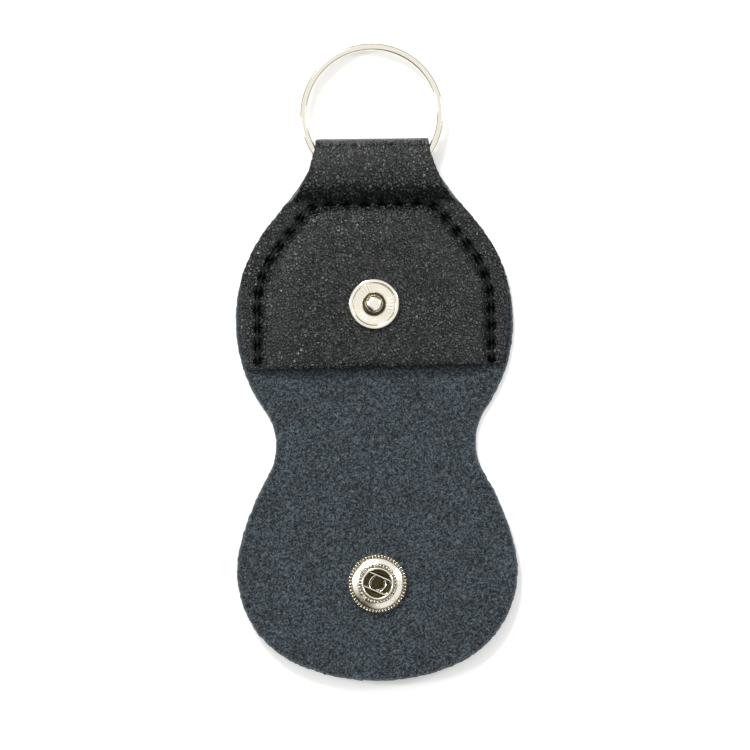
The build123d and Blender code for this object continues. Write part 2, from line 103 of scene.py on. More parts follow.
WAIST_CENTRE, WAIST_RADIUS = (27.9, 0.0), 10.5
BODY_CENTRE = (-2.5, 21.4)
NECK_CENTRE, NECK_RADIUS = (27.35, 56.0), 17.95
CHEEK_CENTRE = (-20.1, -28.3)
CORNER_CENTRE = (6.72, -22.1)
FLAP_LENGTH = 41.2
TAB_TOP_Y = 53.2
MOUTH_Y = 13.4
FRONT_SIDE_RADIUS, FRONT_HALF_WIDTH, FRONT_SIDE_Y = 47.4, 23.35, 24.0

BULGE = 1.6
SEAM_HALF_WIDTH = 20.4
SEAM_START_Y = 14.3
SEAM_SHOULDER_Y, SEAM_SHOULDER_RADIUS, SEAM_SHOULDER_TURN = 24.0, 16.0, math.radians(38)
SEAM_CORNER_RADIUS = 6.0
SEAM_TOP_Y = 42.1
STITCH_PITCH = 3.05
STITCH_LENGTH = 2.6
THREAD = 0.5
GROOVE_DEPTH = 0.3

FOLD_RADIUS = 1.6
FOLD_CENTRE_Y = TAB_TOP_Y - FOLD_RADIUS - SHEET
TAB_FRONT = [(48.2, 4.9), (46.2, 4.75), (44.9, 4.3), (43.9, 3.0), (43.1, 1.7), (42.3, SHEET)]
NECK_DRAW = 0.035  # folding over the ring draws the neck in by this share of its width
NECK_DRAW_Y = 46.5
MOUTH_SLANT = 0.014  # the mouth is cut slightly out of square

STUD_FOOT_Z = SHEET + BULGE + SHEET
EDGE_UNEVEN = 0.05
EDGE_DROP, EDGE_ROLL = 0.16, 0.3  # how far a cut edge's corner sinks, and over what width
TICKS = 32
RIM_BEADS, INNER_BEADS, STARS = 54, 36, 8
STUD_HOLE = 0.85
POST_HOLE = 1.23
SNAP_REACH = -CREASE_Y  # from the crease to the press stud's halves, on either side of it


# --- the object's measures and colours that a user would change ----------------------------------
def colour_property(name, description, default):
    return FloatVectorProperty(
        name=name, description=description, subtype="COLOR", size=3, min=0, max=1, default=default
    )


def srgb(text):
    """The linear colour of a hex value such as 1c1d1e."""
    parts = [int(text[n : n + 2], 16) / 255 for n in (0, 2, 4)]
    return tuple(p / 12.92 if p <= 0.04045 else ((p + 0.055) / 1.055) ** 2.4 for p in parts)


class PickHolderSizes(bpy.types.PropertyGroup):
    """The sizes that change how the holder looks without changing what it fits."""

    pebble: FloatProperty(
        name="Pebble", description="Width of the leather's pebbles", unit="LENGTH", default=0.6 * MM
    )
    strand: FloatProperty(
        name="Strand", description="Width of the suede's clumps of nap", unit="LENGTH", default=0.42 * MM
    )
    mesh_pitch: FloatProperty(
        name="Mesh pitch", description="Spacing of the sheets' points", unit="LENGTH", default=0.55 * MM
    )


class PickHolderColours(bpy.types.PropertyGroup):
    """The finishes' colours."""

    # The colour between the pebbles is the coating's tone, darkened with painted shade for the crevices; the
    # tops' colour is lighter.
    leather: colour_property("Leather", "The coating's colour between its pebbles", srgb("040505"))
    leather_top: colour_property("Leather tops", "The coating's colour on its pebbles", srgb("3d4542"))
    suede: colour_property("Suede", "The nap's colour", srgb("080b0e"))
    suede_light: colour_property("Suede tips", "The colour of the nap's lighter fibres", srgb("525f68"))
    nickel: colour_property("Nickel", "The plating's colour", srgb("e9e4d6"))
    thread: colour_property("Thread", "The seam thread's colour", srgb("0e0e0f"))


# --- materials -----------------------------------------------------------------------------------
def add(material, kind, inputs=None, **settings):
    """Adds a node, sets its settings, and gives each input a value or another node's output."""
    node = material.node_tree.nodes.new(kind)
    for name, value in settings.items():
        setattr(node, name, value)
    for name, value in (inputs or {}).items():
        socket = node.inputs[name]
        if isinstance(value, bpy.types.NodeSocket):
            material.node_tree.links.new(value, socket)
        else:
            socket.default_value = value
    return node


def blank_material(name):
    """A material with nothing in it but its output."""
    material = bpy.data.materials.new(name)
    material.use_nodes = True
    material.node_tree.nodes.clear()
    return material


def finish_material(material, **inputs):
    """Adds the surface shader and the output."""
    names = {key.replace("_", " "): value for key, value in inputs.items()}
    shader = add(material, "ShaderNodeBsdfPrincipled", names)
    add(material, "ShaderNodeOutputMaterial", {"Surface": shader.outputs[0]})
    return material


def in_millimetres(material, output, scale=(1, 1, 1)):
    """A position in metres as millimetres, divided by a pattern's size."""
    values = tuple(1 / (MM * s) for s in scale)
    return add(material, "ShaderNodeMapping", {"Vector": output, "Scale": values}).outputs[0]


def rgba(colour):
    """A linear colour with full opacity, as a shader's socket takes it."""
    return (*colour, 1.0)


def led_astray(material, place, scale, detail, reach):
    """A place moved by noise, so that a pattern laid on it has no straight lines or even spacing."""
    warp = add(material, "ShaderNodeTexNoise", {"Vector": place, "Scale": scale, "Detail": detail})
    shift = add(
        material,
        "ShaderNodeVectorMath",
        {0: warp.outputs["Color"], 1: (reach, reach, reach)},
        operation="MULTIPLY",
    )
    return add(material, "ShaderNodeVectorMath", {0: place, 1: shift.outputs[0]}, operation="ADD")


def leather_material(sizes, colours):
    """Split leather with a polyurethane coating, embossed with small pebbles: a soft broken sheen."""
    material = blank_material("coated_leather")
    flat = add(material, "ShaderNodeAttribute", attribute_name="flat_place").outputs["Vector"]
    place = in_millimetres(material, flat)
    warped = led_astray(material, place, scale=1.1, detail=2.0, reach=0.5)
    pebbles = add(
        material,
        "ShaderNodeTexVoronoi",
        {"Vector": warped.outputs[0], "Scale": MM / sizes.pebble, "Randomness": 1.0},
        feature="DISTANCE_TO_EDGE",
    )
    domes = add(
        material,
        "ShaderNodeMapRange",
        {"Value": pebbles.outputs["Distance"], "From Max": 0.32},
        interpolation_type="SMOOTHSTEP",
    )
    creases = add(
        material,
        "ShaderNodeTexNoise",
        {"Vector": warped.outputs[0], "Scale": 0.75, "Detail": 3.0, "Roughness": 0.6, "Distortion": 0.2},
    )
    pores = add(material, "ShaderNodeTexNoise", {"Vector": place, "Scale": 5.5, "Detail": 3.0})
    uneven = add(
        material,
        "ShaderNodeMath",
        {0: domes.outputs[0], 1: creases.outputs[0]},
        operation="MULTIPLY",
    )
    # Lighter on the pebbles and darker in the crevices between them: partly the coating's own tone, partly
    # painted shade in the crevices.
    tone_and_crevice_shade = add(
        material,
        "ShaderNodeMapRange",
        {"Value": uneven.outputs[0], "From Min": 0.26, "From Max": 0.62},
        interpolation_type="SMOOTHSTEP",
    )
    broad = add(
        material,
        "ShaderNodeBump",
        {"Height": creases.outputs[0], "Strength": 0.8, "Distance": 0.2 * MM},
    )
    grain = add(
        material,
        "ShaderNodeBump",
        {"Height": uneven.outputs[0], "Strength": 1.0, "Distance": 0.28 * MM, "Normal": broad.outputs[0]},
    )
    fine = add(
        material,
        "ShaderNodeBump",
        {"Height": pores.outputs[0], "Strength": 0.6, "Distance": 0.035 * MM, "Normal": grain.outputs[0]},
    )
    colour = add(
        material,
        "ShaderNodeMix",
        {0: tone_and_crevice_shade.outputs[0], 6: rgba(colours.leather), 7: rgba(colours.leather_top)},
        data_type="RGBA",
    )
    sheen = add(
        material,
        "ShaderNodeMapRange",
        {"Value": pores.outputs[0], "From Min": 0.3, "From Max": 0.7, "To Min": 0.18, "To Max": 0.3},
    )
    # Painted shade in the seam's groove: the deeper the groove (the pressed mask), the nearer the colour
    # goes to black and the lower the specular.
    groove_shade_depth = add(material, "ShaderNodeAttribute", attribute_name="groove_shade_depth").outputs["Fac"]
    pressed = add(
        material,
        "ShaderNodeMapRange",
        {"Value": groove_shade_depth, "From Min": 0.12 * MM, "From Max": 0.5 * MM},
        interpolation_type="SMOOTHSTEP",
    )
    shaded = add(
        material,
        "ShaderNodeMix",
        {0: pressed.outputs[0], 6: colour.outputs[2], 7: rgba(srgb("020303"))},
        data_type="RGBA",
    )
    shine = add(
        material,
        "ShaderNodeMapRange",
        {"Value": pressed.outputs[0], "To Min": 0.5, "To Max": 0.06},
    )
    return finish_material(
        material,
        Base_Color=shaded.outputs[2],
        Roughness=sheen.outputs[0],
        Normal=fine.outputs[0],
        IOR=1.5,
        Specular_IOR_Level=shine.outputs[0],
    )


def suede_material(sizes, colours):
    """The leather's split side, brushed to a nap and dyed: no gloss, mottled where the fibres clump."""
    material = blank_material("brushed_suede")
    flat = add(material, "ShaderNodeAttribute", attribute_name="flat_place").outputs["Vector"]
    rim = add(material, "ShaderNodeAttribute", attribute_name="rim_distance").outputs["Fac"]
    place = in_millimetres(material, flat)
    warped = led_astray(material, place, scale=0.8, detail=3.0, reach=1.3)
    clumps = add(
        material,
        "ShaderNodeTexNoise",
        {
            "Vector": warped.outputs[0],
            "Scale": MM / sizes.strand,
            "Detail": 5.0,
            "Roughness": 0.72,
            "Distortion": 0.8,
        },
    )
    patches = add(material, "ShaderNodeTexNoise", {"Vector": place, "Scale": 0.16, "Detail": 3.0})
    # Single fibres are a tenth as wide: they are drawn coarse enough to be seen.
    fibres = add(
        material,
        "ShaderNodeTexNoise",
        {"Vector": warped.outputs[0], "Scale": 3.1, "Detail": 4.0, "Roughness": 0.7},
    )
    weights = ((clumps, 0.5), (fibres, 0.45), (patches, 0.05))
    mottle = None
    for texture, weight in weights:
        sum_with = {0: texture.outputs[0], 1: weight, 2: mottle.outputs[0] if mottle else 0.0}
        mottle = add(material, "ShaderNodeMath", sum_with, operation="MULTIPLY_ADD")
    tone = add(
        material,
        "ShaderNodeMapRange",
        {"Value": mottle.outputs[0], "From Min": 0.47, "From Max": 0.58},
    )
    colour = add(
        material,
        "ShaderNodeMix",
        {0: tone.outputs[0], 6: rgba(colours.suede), 7: rgba(colours.suede_light)},
        data_type="RGBA",
    )
    lint_place = in_millimetres(material, flat, (1, 0.35, 1))
    lint = add(
        material,
        "ShaderNodeTexVoronoi",
        {"Vector": lint_place, "Scale": 0.55, "Randomness": 1.0},
    )
    fleck = add(
        material,
        "ShaderNodeMapRange",
        {
            "Value": lint.outputs["Distance"],
            "From Min": 0.05,
            "From Max": 0.09,
            "To Min": 0.6,
            "To Max": 0.0,
        },
    )
    dotted = add(
        material,
        "ShaderNodeMix",
        {0: fleck.outputs[0], 6: colour.outputs[2], 7: rgba(srgb("9aa4aa"))},
        data_type="RGBA",
    )
    fray = add(
        material,
        "ShaderNodeMapRange",
        {"Value": rim, "From Min": 0.0, "From Max": 0.5 * MM, "To Min": 0.2, "To Max": 0.0},
    )
    frayed = add(
        material,
        "ShaderNodeMix",
        {0: fray.outputs[0], 6: dotted.outputs[2], 7: rgba(srgb("a3adae"))},
        data_type="RGBA",
    )
    pile = add(
        material,
        "ShaderNodeBump",
        {"Height": clumps.outputs[0], "Strength": 0.8, "Distance": 0.22 * MM},
    )
    nap = add(
        material,
        "ShaderNodeBump",
        {"Height": fibres.outputs[0], "Strength": 0.9, "Distance": 0.12 * MM, "Normal": pile.outputs[0]},
    )
    return finish_material(
        material,
        Base_Color=frayed.outputs[2],
        Roughness=0.95,
        Normal=nap.outputs[0],
        IOR=1.5,
        Specular_IOR_Level=0.15,
        Sheen_Weight=0.25,
        Sheen_Roughness=0.6,
    )


def nickel_material(name, colours, roughness):
    """Nickel plate on pressed steel or wire: a warm white mirror, faintly hazed by handling."""
    material = blank_material(name)
    place = add(material, "ShaderNodeTexCoord").outputs["Object"]
    spot = in_millimetres(material, place)
    haze = add(material, "ShaderNodeTexNoise", {"Vector": spot, "Scale": 1.4, "Detail": 4.0})
    gloss = add(
        material,
        "ShaderNodeMapRange",
        {"Value": haze.outputs[0], "To Min": roughness * 0.7, "To Max": roughness * 1.4},
    )
    ripple = add(
        material,
        "ShaderNodeBump",
        {"Height": haze.outputs[0], "Strength": 0.25, "Distance": 0.02 * MM},
    )
    return finish_material(
        material,
        Base_Color=rgba(colours.nickel),
        Metallic=1.0,
        Roughness=gloss.outputs[0],
        Normal=ripple.outputs[0],
    )


def shade_material():
    """Painted shade for the metal's hollows: a dull, dark, greenish brown metal, mottled."""
    material = blank_material("painted_recess_shade")
    place = add(material, "ShaderNodeTexCoord").outputs["Object"]
    spot = in_millimetres(material, place)
    shade_mottle = add(material, "ShaderNodeTexNoise", {"Vector": spot, "Scale": 0.9, "Detail": 3.0})
    colour = add(
        material,
        "ShaderNodeMix",
        {0: shade_mottle.outputs[0], 6: rgba(srgb("2a2618")), 7: rgba(srgb("6b6344"))},
        data_type="RGBA",
    )
    rub = add(
        material,
        "ShaderNodeBump",
        {"Height": shade_mottle.outputs[0], "Strength": 0.3, "Distance": 0.05 * MM},
    )
    return finish_material(
        material, Base_Color=colour.outputs[2], Metallic=1.0, Roughness=0.45, Normal=rub.outputs[0]
    )


def painted_shade_metal():
    """The dark metal of painted shade, made the first time it is wanted."""
    return bpy.data.materials.get("painted_recess_shade") or shade_material()


def shade_inside(piece, chosen):
    """Gives the faces that a test chooses the dark metal of painted shade."""
    if len(piece.data.materials) == 1:
        piece.data.materials.append(painted_shade_metal())
    for polygon in piece.data.polygons:
        if chosen(polygon.center / MM):
            polygon.material_index = 1


def thread_material(colours):
    """Bonded polyester thread in three plies: black, with a slight waxy shine on each ply."""
    material = blank_material("bonded_thread")
    place = add(material, "ShaderNodeTexCoord").outputs["Object"]
    spot = in_millimetres(material, place)
    plies = add(
        material,
        "ShaderNodeTexWave",
        {"Vector": spot, "Scale": 1.1, "Distortion": 0.6, "Detail": 1.0},
        bands_direction="DIAGONAL",
    )
    twist = add(
        material,
        "ShaderNodeBump",
        {"Height": plies.outputs["Fac"], "Strength": 0.8, "Distance": 0.06 * MM},
    )
    return finish_material(
        material,
        Base_Color=rgba(colours.thread),
        Roughness=0.7,
        Normal=twist.outputs[0],
        Specular_IOR_Level=0.25,
    )


def material_for(slot_name):
    """The finish of one of the record's material slots, made the first time it is wanted."""
    scene = bpy.context.scene
    sizes, colours = scene.pick_holder_sizes, scene.pick_holder_colours
    makers = {
        "leather_grain": ("coated_leather", lambda: leather_material(sizes, colours)),
        "suede_nap": ("brushed_suede", lambda: suede_material(sizes, colours)),
        "nickel_snap": ("nickel_plate", lambda: nickel_material("nickel_plate", colours, 0.17)),
        "spring_wire": ("spring_steel", lambda: nickel_material("spring_steel", colours, 0.22)),
        "nickel_ring": ("bright_nickel_wire", lambda: nickel_material("bright_nickel_wire", colours, 0.1)),
        "seam_thread": ("bonded_thread", lambda: thread_material(colours)),
    }
    name, maker = makers[slot_name]
    return bpy.data.materials.get(name) or maker()


def finished(piece, slot_name):
    """Gives a piece its material and its slot."""
    piece.data.materials.clear()
    piece.data.materials.append(material_for(slot_name))
    return piece


# --- the blank's outline -------------------------------------------------------------------------
def between(start, end, run):
    """The point at this distance from start towards end."""
    span = math.dist(start, end)
    return tuple(a + (b - a) * run / span for a, b in zip(start, end))


def arc_points(centre, start, end, step=0.1):
    """Points along the shorter arc about a centre, from start to just before end."""
    first = math.atan2(start[1] - centre[1], start[0] - centre[0])
    last = math.atan2(end[1] - centre[1], end[0] - centre[0])
    turn = (last - first + math.pi) % (2 * math.pi) - math.pi
    radius = math.dist(centre, start)
    count = max(2, math.ceil(abs(turn) * radius / step))
    angles = [first + turn * n / count for n in range(count)]
    return [(centre[0] + radius * math.cos(a), centre[1] + radius * math.sin(a)) for a in angles]


def blank_side():
    """The blank's right side as a close row of points, from the top of the ring tab to the flap's tip."""
    body_radius = math.dist(BODY_CENTRE, WAIST_CENTRE) - WAIST_RADIUS
    span = math.dist(BODY_CENTRE, NECK_CENTRE)
    heading = math.atan2(NECK_CENTRE[1] - BODY_CENTRE[1], NECK_CENTRE[0] - BODY_CENTRE[0])
    normal = heading - math.acos((body_radius + NECK_RADIUS) / span)
    direction = (math.cos(normal), math.sin(normal))
    shoulder = tuple(c + body_radius * d for c, d in zip(BODY_CENTRE, direction))
    neck = tuple(c - NECK_RADIUS * d for c, d in zip(NECK_CENTRE, direction))
    tab_x = NECK_CENTRE[0] - (NECK_RADIUS**2 - (TAB_TOP_Y - NECK_CENTRE[1]) ** 2) ** 0.5
    hip = between(WAIST_CENTRE, BODY_CENTRE, WAIST_RADIUS)
    cheek_radius = math.dist(CHEEK_CENTRE, WAIST_CENTRE) - WAIST_RADIUS
    cheek = between(WAIST_CENTRE, CHEEK_CENTRE, WAIST_RADIUS)
    corner_radius = cheek_radius - math.dist(CHEEK_CENTRE, CORNER_CENTRE)
    jowl = between(CHEEK_CENTRE, CORNER_CENTRE, cheek_radius)
    depth = corner_radius - FLAP_LENGTH
    tip_y = (depth**2 - CORNER_CENTRE[0] ** 2 - CORNER_CENTRE[1] ** 2) / (2 * (depth - CORNER_CENTRE[1]))
    chin = between((0.0, tip_y), CORNER_CENTRE, tip_y + FLAP_LENGTH)
    points = arc_points(NECK_CENTRE, (tab_x, TAB_TOP_Y), neck)
    points += [between(neck, shoulder, n * 0.1) for n in range(int(math.dist(neck, shoulder) / 0.1))]
    points += arc_points(BODY_CENTRE, shoulder, hip)
    points += arc_points(WAIST_CENTRE, hip, cheek)
    points += arc_points(CHEEK_CENTRE, cheek, jowl)
    points += arc_points(CORNER_CENTRE, jowl, chin)
    points += arc_points((0.0, tip_y), chin, (0.0, -FLAP_LENGTH))
    return np.array(points + [(0.0, -FLAP_LENGTH)])


def seam_path():
    """The seam as a close row of points: up the right side, over the top and down the left."""
    turn = SEAM_SHOULDER_TURN
    centre = (SEAM_HALF_WIDTH - SEAM_SHOULDER_RADIUS, SEAM_SHOULDER_Y)
    shoulder = (SEAM_HALF_WIDTH, SEAM_SHOULDER_Y)
    slope = (
        centre[0] + SEAM_SHOULDER_RADIUS * math.cos(turn),
        centre[1] + SEAM_SHOULDER_RADIUS * math.sin(turn),
    )
    corner_y = SEAM_TOP_Y - SEAM_CORNER_RADIUS
    rise = corner_y + SEAM_CORNER_RADIUS * math.sin(turn) - slope[1]
    corner = (slope[0] - rise * math.tan(turn), slope[1] + rise)
    corner_centre = (corner[0] - SEAM_CORNER_RADIUS * math.cos(turn), corner_y)
    top = (corner_centre[0], SEAM_TOP_Y)
    right = straight((SEAM_HALF_WIDTH, SEAM_START_Y), shoulder)
    right += arc_points(centre, shoulder, slope)
    right += straight(slope, corner)
    right += arc_points(corner_centre, corner, top)
    right += straight(top, (0.0, SEAM_TOP_Y))
    right = np.array(right + [(0.0, SEAM_TOP_Y)])
    left = right[:-1][::-1] * (-1, 1)
    return np.vstack([right, left])


def straight(start, end, step=0.1):
    """Points along a straight line, from start to just before end."""
    count = max(1, round(math.dist(start, end) / step))
    return [between(start, end, math.dist(start, end) * n / count) for n in range(count)]


def run_lengths(points):
    """How far along its row each point is."""
    steps = np.hypot(*np.diff(points, axis=0).T)
    return np.concatenate([[0], np.cumsum(steps)])


def spaced(points, step):
    """The same line with its points evenly spaced."""
    runs = run_lengths(points)
    marks = np.linspace(0, runs[-1], max(2, round(runs[-1] / step)) + 1)
    return np.column_stack([np.interp(marks, runs, points[:, axis]) for axis in (0, 1)])


SIDE = blank_side()
SEAM = seam_path()
SEAM_RUNS = run_lengths(SEAM)
STITCHES = round(SEAM_RUNS[-1] / STITCH_PITCH)


def half_width(y):
    """Half the blank's width at this distance from the crease."""
    return np.interp(-np.asarray(y), -SIDE[:, 1], SIDE[:, 0])


# --- the sheet's path ----------------------------------------------------------------------------
def sheet_path():
    """The napped face's way up the back, over the ring and down the front: run, y and z in a row."""
    arc = [
        (
            FOLD_CENTRE_Y + FOLD_RADIUS * math.sin(math.pi * n / 40),
            SHEET + FOLD_RADIUS * (1 - math.cos(math.pi * n / 40)),
        )
        for n in range(41)
    ]
    corners = [(-FLAP_LENGTH - 5, SHEET)] + arc + TAB_FRONT + [(MOUTH_Y - 5, SHEET)]
    line = spaced(np.array(corners), 0.05)
    soft = line.copy()
    reach = 9
    for _ in range(3):
        padded = np.pad(soft, ((reach, reach), (0, 0)), mode="edge")
        soft = np.mean([padded[n : n + len(soft)] for n in range(2 * reach + 1)], axis=0)
    soft[:20], soft[-20:] = line[:20], line[-20:]
    runs = run_lengths(soft)
    back = slice(0, np.argmax(soft[:, 0]))
    return runs - np.interp(0, soft[back, 0], runs[back]), soft


PATH_RUNS, PATH = sheet_path()
TANGENTS = np.gradient(PATH, PATH_RUNS, axis=0)
TURN_RUN = PATH_RUNS[np.argmax(PATH[:, 0])]
FRONT = PATH_RUNS > TURN_RUN
MOUTH_RUN = np.interp(-MOUTH_Y, -PATH[FRONT, 0], PATH_RUNS[FRONT])


def front_run(y):
    """The run of the front panel's point at this distance from the crease."""
    return np.interp(-np.asarray(y), -PATH[FRONT, 0], PATH_RUNS[FRONT])


def cut_half_width(run):
    """Half the cut sheet's width at this run: the front panel is cut slightly narrower than the back."""
    y = np.interp(run, PATH_RUNS, PATH[:, 0])
    width = half_width(y)
    reach = np.sqrt(np.maximum(FRONT_SIDE_RADIUS**2 - (y - FRONT_SIDE_Y) ** 2, 0))
    front_width = reach - FRONT_SIDE_RADIUS + FRONT_HALF_WIDTH
    width = width * (1 - NECK_DRAW * np.exp(-(((y - NECK_DRAW_Y) / 5) ** 2)))
    return np.where(np.asarray(run) > TURN_RUN, np.minimum(width, front_width), width)


def smooth(value):
    """0 up to 0, 1 from 1 on, and a soft step between."""
    t = np.clip(value, 0, 1)
    return t * t * (3 - 2 * t)


def tree_of(points):
    """A search tree over flat points."""
    tree = KDTree(len(points))
    for index, (x, y) in enumerate(points):
        tree.insert((x, y, 0), index)
    tree.balance()
    return tree


def nearest(tree, points):
    """The index of and the distance to each point's nearest neighbour in a tree."""
    found = [tree.find((x, y, 0)) for x, y in points]
    return np.array([f[1] for f in found]), np.array([f[2] for f in found])


def roughness_of(points, size, seed):
    """Smooth noise from -1 to 1 over flat points, with features of this size."""
    return np.array([noise.noise((x / size + seed, y / size, seed * 1.7)) for x, y in points])


# --- sheets --------------------------------------------------------------------------------------
def inside(points, loop):
    """Which points lie inside a closed loop."""
    after = np.roll(loop, -1, axis=0)
    result = np.zeros(len(points), bool)
    for (ax, ay), (bx, by) in zip(loop, after):
        crosses = (ay > points[:, 1]) != (by > points[:, 1])
        if ay == by:
            continue
        at = ax + (points[:, 1] - ay) * (bx - ax) / (by - ay)
        result ^= crosses & (points[:, 0] < at)
    return result


def inset(loop, amount):
    """A loop moved inwards by an amount that is small beside its curves."""
    before, after = np.roll(loop, 1, axis=0), np.roll(loop, -1, axis=0)
    along = after - before
    along /= np.hypot(*along.T)[:, None]
    return loop + amount * np.column_stack([-along[:, 1], along[:, 0]])


def circle_loop(centre, radius, count=28):
    """A hole's rim as a closed loop of points."""
    angles = np.arange(count) * 2 * math.pi / count
    return np.column_stack([centre[0] + radius * np.cos(angles), centre[1] + radius * np.sin(angles)])


def triangulate(loop, holes, rows, pitch):
    """A flat mesh of a cut piece: rows along its rim and seams, and an even spread between."""
    rim_rows = [inset(loop, amount) for amount in (0.07, 0.2, 0.42)]
    hole_loops = [circle_loop(centre, radius) for centre, radius in holes]
    hole_rows = [circle_loop(centre, radius + 0.2) for centre, radius in holes]
    given = np.vstack([loop, *hole_loops, *hole_rows, *rim_rows, *rows])
    low, high = loop.min(0), loop.max(0)
    ys = np.arange(low[1], high[1], pitch * 0.87)
    grid = []
    for number, y in enumerate(ys):
        xs = np.arange(low[0] + (number % 2) * pitch / 2, high[0], pitch)
        grid.append(np.column_stack([xs, np.full(len(xs), y)]))
    grid = np.vstack(grid)
    grid = grid[inside(grid, loop)]
    _, away = nearest(tree_of(given), grid)
    grid = grid[away > pitch * 0.55]
    for centre, radius in holes:
        grid = grid[np.hypot(*(grid - centre).T) > radius + 0.3]
    points = np.vstack([given, grid])
    edges, start = [], 0
    loops = [loop, *hole_loops]
    for each in loops:
        count = len(each)
        edges += [(start + n, start + (n + 1) % count) for n in range(count)]
        start += count
    flat, _, faces, origins, _, _ = delaunay_2d_cdt([Vector(p) for p in points], edges, [], 1, 1e-5)
    flat = np.array([tuple(p) for p in flat])
    faces = np.array([tuple(f) for f in faces])
    centres = flat[faces].mean(1)
    for centre, radius in holes:
        keep = np.hypot(*(centres - centre).T) > radius * 0.995
        faces, centres = faces[keep], centres[keep]
    place = {origin: index for index, group in enumerate(origins) for origin in group}
    ordered, start = [], 0
    for each in loops:
        ordered.append([place[start + n] for n in range(len(each))])
        start += len(each)
    return flat, faces, ordered


def bent(points):
    """The waist's three slight bends at rest, each shared smoothly over its own zone."""
    y, z = points[:, 1].copy(), points[:, 2].copy()
    for start, hinge in reversed(list(zip(ZONE_STARTS, FOLD_YS))):
        turn = -REST_BEND * smooth((start - points[:, 1]) / FOLD_PITCH)
        dy, dz = y - hinge, z - SHEET
        y = hinge + dy * np.cos(turn) - dz * np.sin(turn)
        z = SHEET + dy * np.sin(turn) + dz * np.cos(turn)
    return np.column_stack([points[:, 0], y, z])


def on_path(flat, depth):
    """Flat points at a depth from the napped face, as places in the object, in metres."""
    y = np.interp(flat[:, 1], PATH_RUNS, PATH[:, 0])
    z = np.interp(flat[:, 1], PATH_RUNS, PATH[:, 1])
    along_y = np.interp(flat[:, 1], PATH_RUNS, TANGENTS[:, 0])
    along_z = np.interp(flat[:, 1], PATH_RUNS, TANGENTS[:, 1])
    size = np.hypot(along_y, along_z)
    y, z = y + depth * along_z / size, z - depth * along_y / size
    places = bent(np.column_stack([flat[:, 0], y, z]))
    places[:, 1] += CREASE_Y
    return places * MM


def write_values(mesh, name, values):
    """Keeps one number at each point of a mesh, for its material to read."""
    stored = mesh.attributes.new(name, "FLOAT", "POINT")
    stored.data.foreach_set("value", values.astype(np.float32))


def sheet_layer(name, cut, low, high, relief_low, relief_high, slot_name):
    """A closed layer of the sheet between two depths from the napped face."""
    flat, faces, loops, rim_distance, groove_shade_depth = cut
    count = len(flat)
    low_depth, high_depth = low + relief_low, high + relief_high
    places = np.vstack([on_path(flat, high_depth), on_path(flat, low_depth)])
    triangles = [tuple(int(i) for i in f) for f in faces]
    under = [(c + count, b + count, a + count) for a, b, c in triangles]
    walls = []
    for loop in loops:
        for a, b in zip(loop, loop[1:] + loop[:1]):
            walls.append((b, a, a + count, b + count))
    mesh = bpy.data.meshes.new(name)
    mesh.from_pydata([tuple(p) for p in places], [], triangles + under + walls)
    mesh.validate()
    piece = bpy.data.objects.new(name, mesh)
    bpy.context.scene.collection.objects.link(piece)
    depths = np.concatenate([high_depth, low_depth])
    doubled = np.vstack([flat, flat])
    flat_place = np.column_stack([doubled, depths]) * MM
    mesh.attributes.new("flat_place", "FLOAT_VECTOR", "POINT").data.foreach_set(
        "vector", flat_place.astype(np.float32).ravel()
    )
    write_values(mesh, "rim_distance", np.concatenate([rim_distance, rim_distance]) * MM)
    write_values(mesh, "groove_shade_depth", np.concatenate([groove_shade_depth, groove_shade_depth]) * MM)
    if mesh_volume(mesh) < 0:
        mesh.flip_normals()
    mesh.polygons.foreach_set("use_smooth", [True] * len(mesh.polygons))
    return finished(piece, slot_name)


def mesh_volume(mesh):
    """The volume that a closed mesh's faces enclose, below 0 where they point inwards."""
    mesh.calc_loop_triangles()
    corners = np.array([[mesh.vertices[i].co for i in t.vertices] for t in mesh.loop_triangles])
    return float(np.einsum("ij,ij->i", corners[:, 0], np.cross(corners[:, 1], corners[:, 2])).sum() / 6)


def rim_roll(rim_distance, drop, reach):
    """How far a face sinks at its cut edge."""
    t = np.clip(1 - rim_distance / reach, 0, 1)
    return drop * t * t


def roughened(loop, joins):
    """A cut edge with the knife's small unevenness, and none at its joins."""
    uneven = np.random.default_rng(7).normal(0, EDGE_UNEVEN, len(loop))
    for run in joins:
        uneven[np.abs(loop[:, 1] - run) < 0.8] = 0
    return inset(loop, uneven[:, None])


def layered(name, loop, holes, rows, pitch, joins=(), relief=None):
    """Cuts one length of the sheet and makes its leather and its suede, returned in that order.

    joins are the runs at which this length carries on as the next one, so it has no cut edge there."""
    loop = roughened(loop, joins)
    flat, faces, loops = triangulate(loop, holes, rows, pitch)
    rim = spaced(np.vstack([loop, loop[:1]]), 0.1)
    for run in joins:
        rim = rim[np.abs(rim[:, 1] - run) > 0.01]
    _, rim_distance = nearest(tree_of(rim), flat)
    outer, inner = relief(flat) if relief else (np.zeros(len(flat)), np.zeros(len(flat)))
    # The outer face's depth below the inner one, mostly the seam's groove: the mask for the groove's painted
    # shade.
    cut = (flat, faces, loops, rim_distance, np.abs(inner - outer))
    middle = inner + (outer - inner) * NAP / SHEET
    roll = rim_roll(rim_distance, EDGE_DROP, EDGE_ROLL)
    fray = 0.05 * roughness_of(flat, 0.7, 3.1) * np.clip(1 - rim_distance / 0.5, 0, 1)
    leather = sheet_layer(
        f"{name}_grain", cut, NAP + LAYER_GAP, SHEET, middle, outer - roll, "leather_grain"
    )
    suede = sheet_layer(f"{name}_nap", cut, 0, NAP, inner + 1.2 * roll + fray, middle, "suede_nap")
    return leather, suede


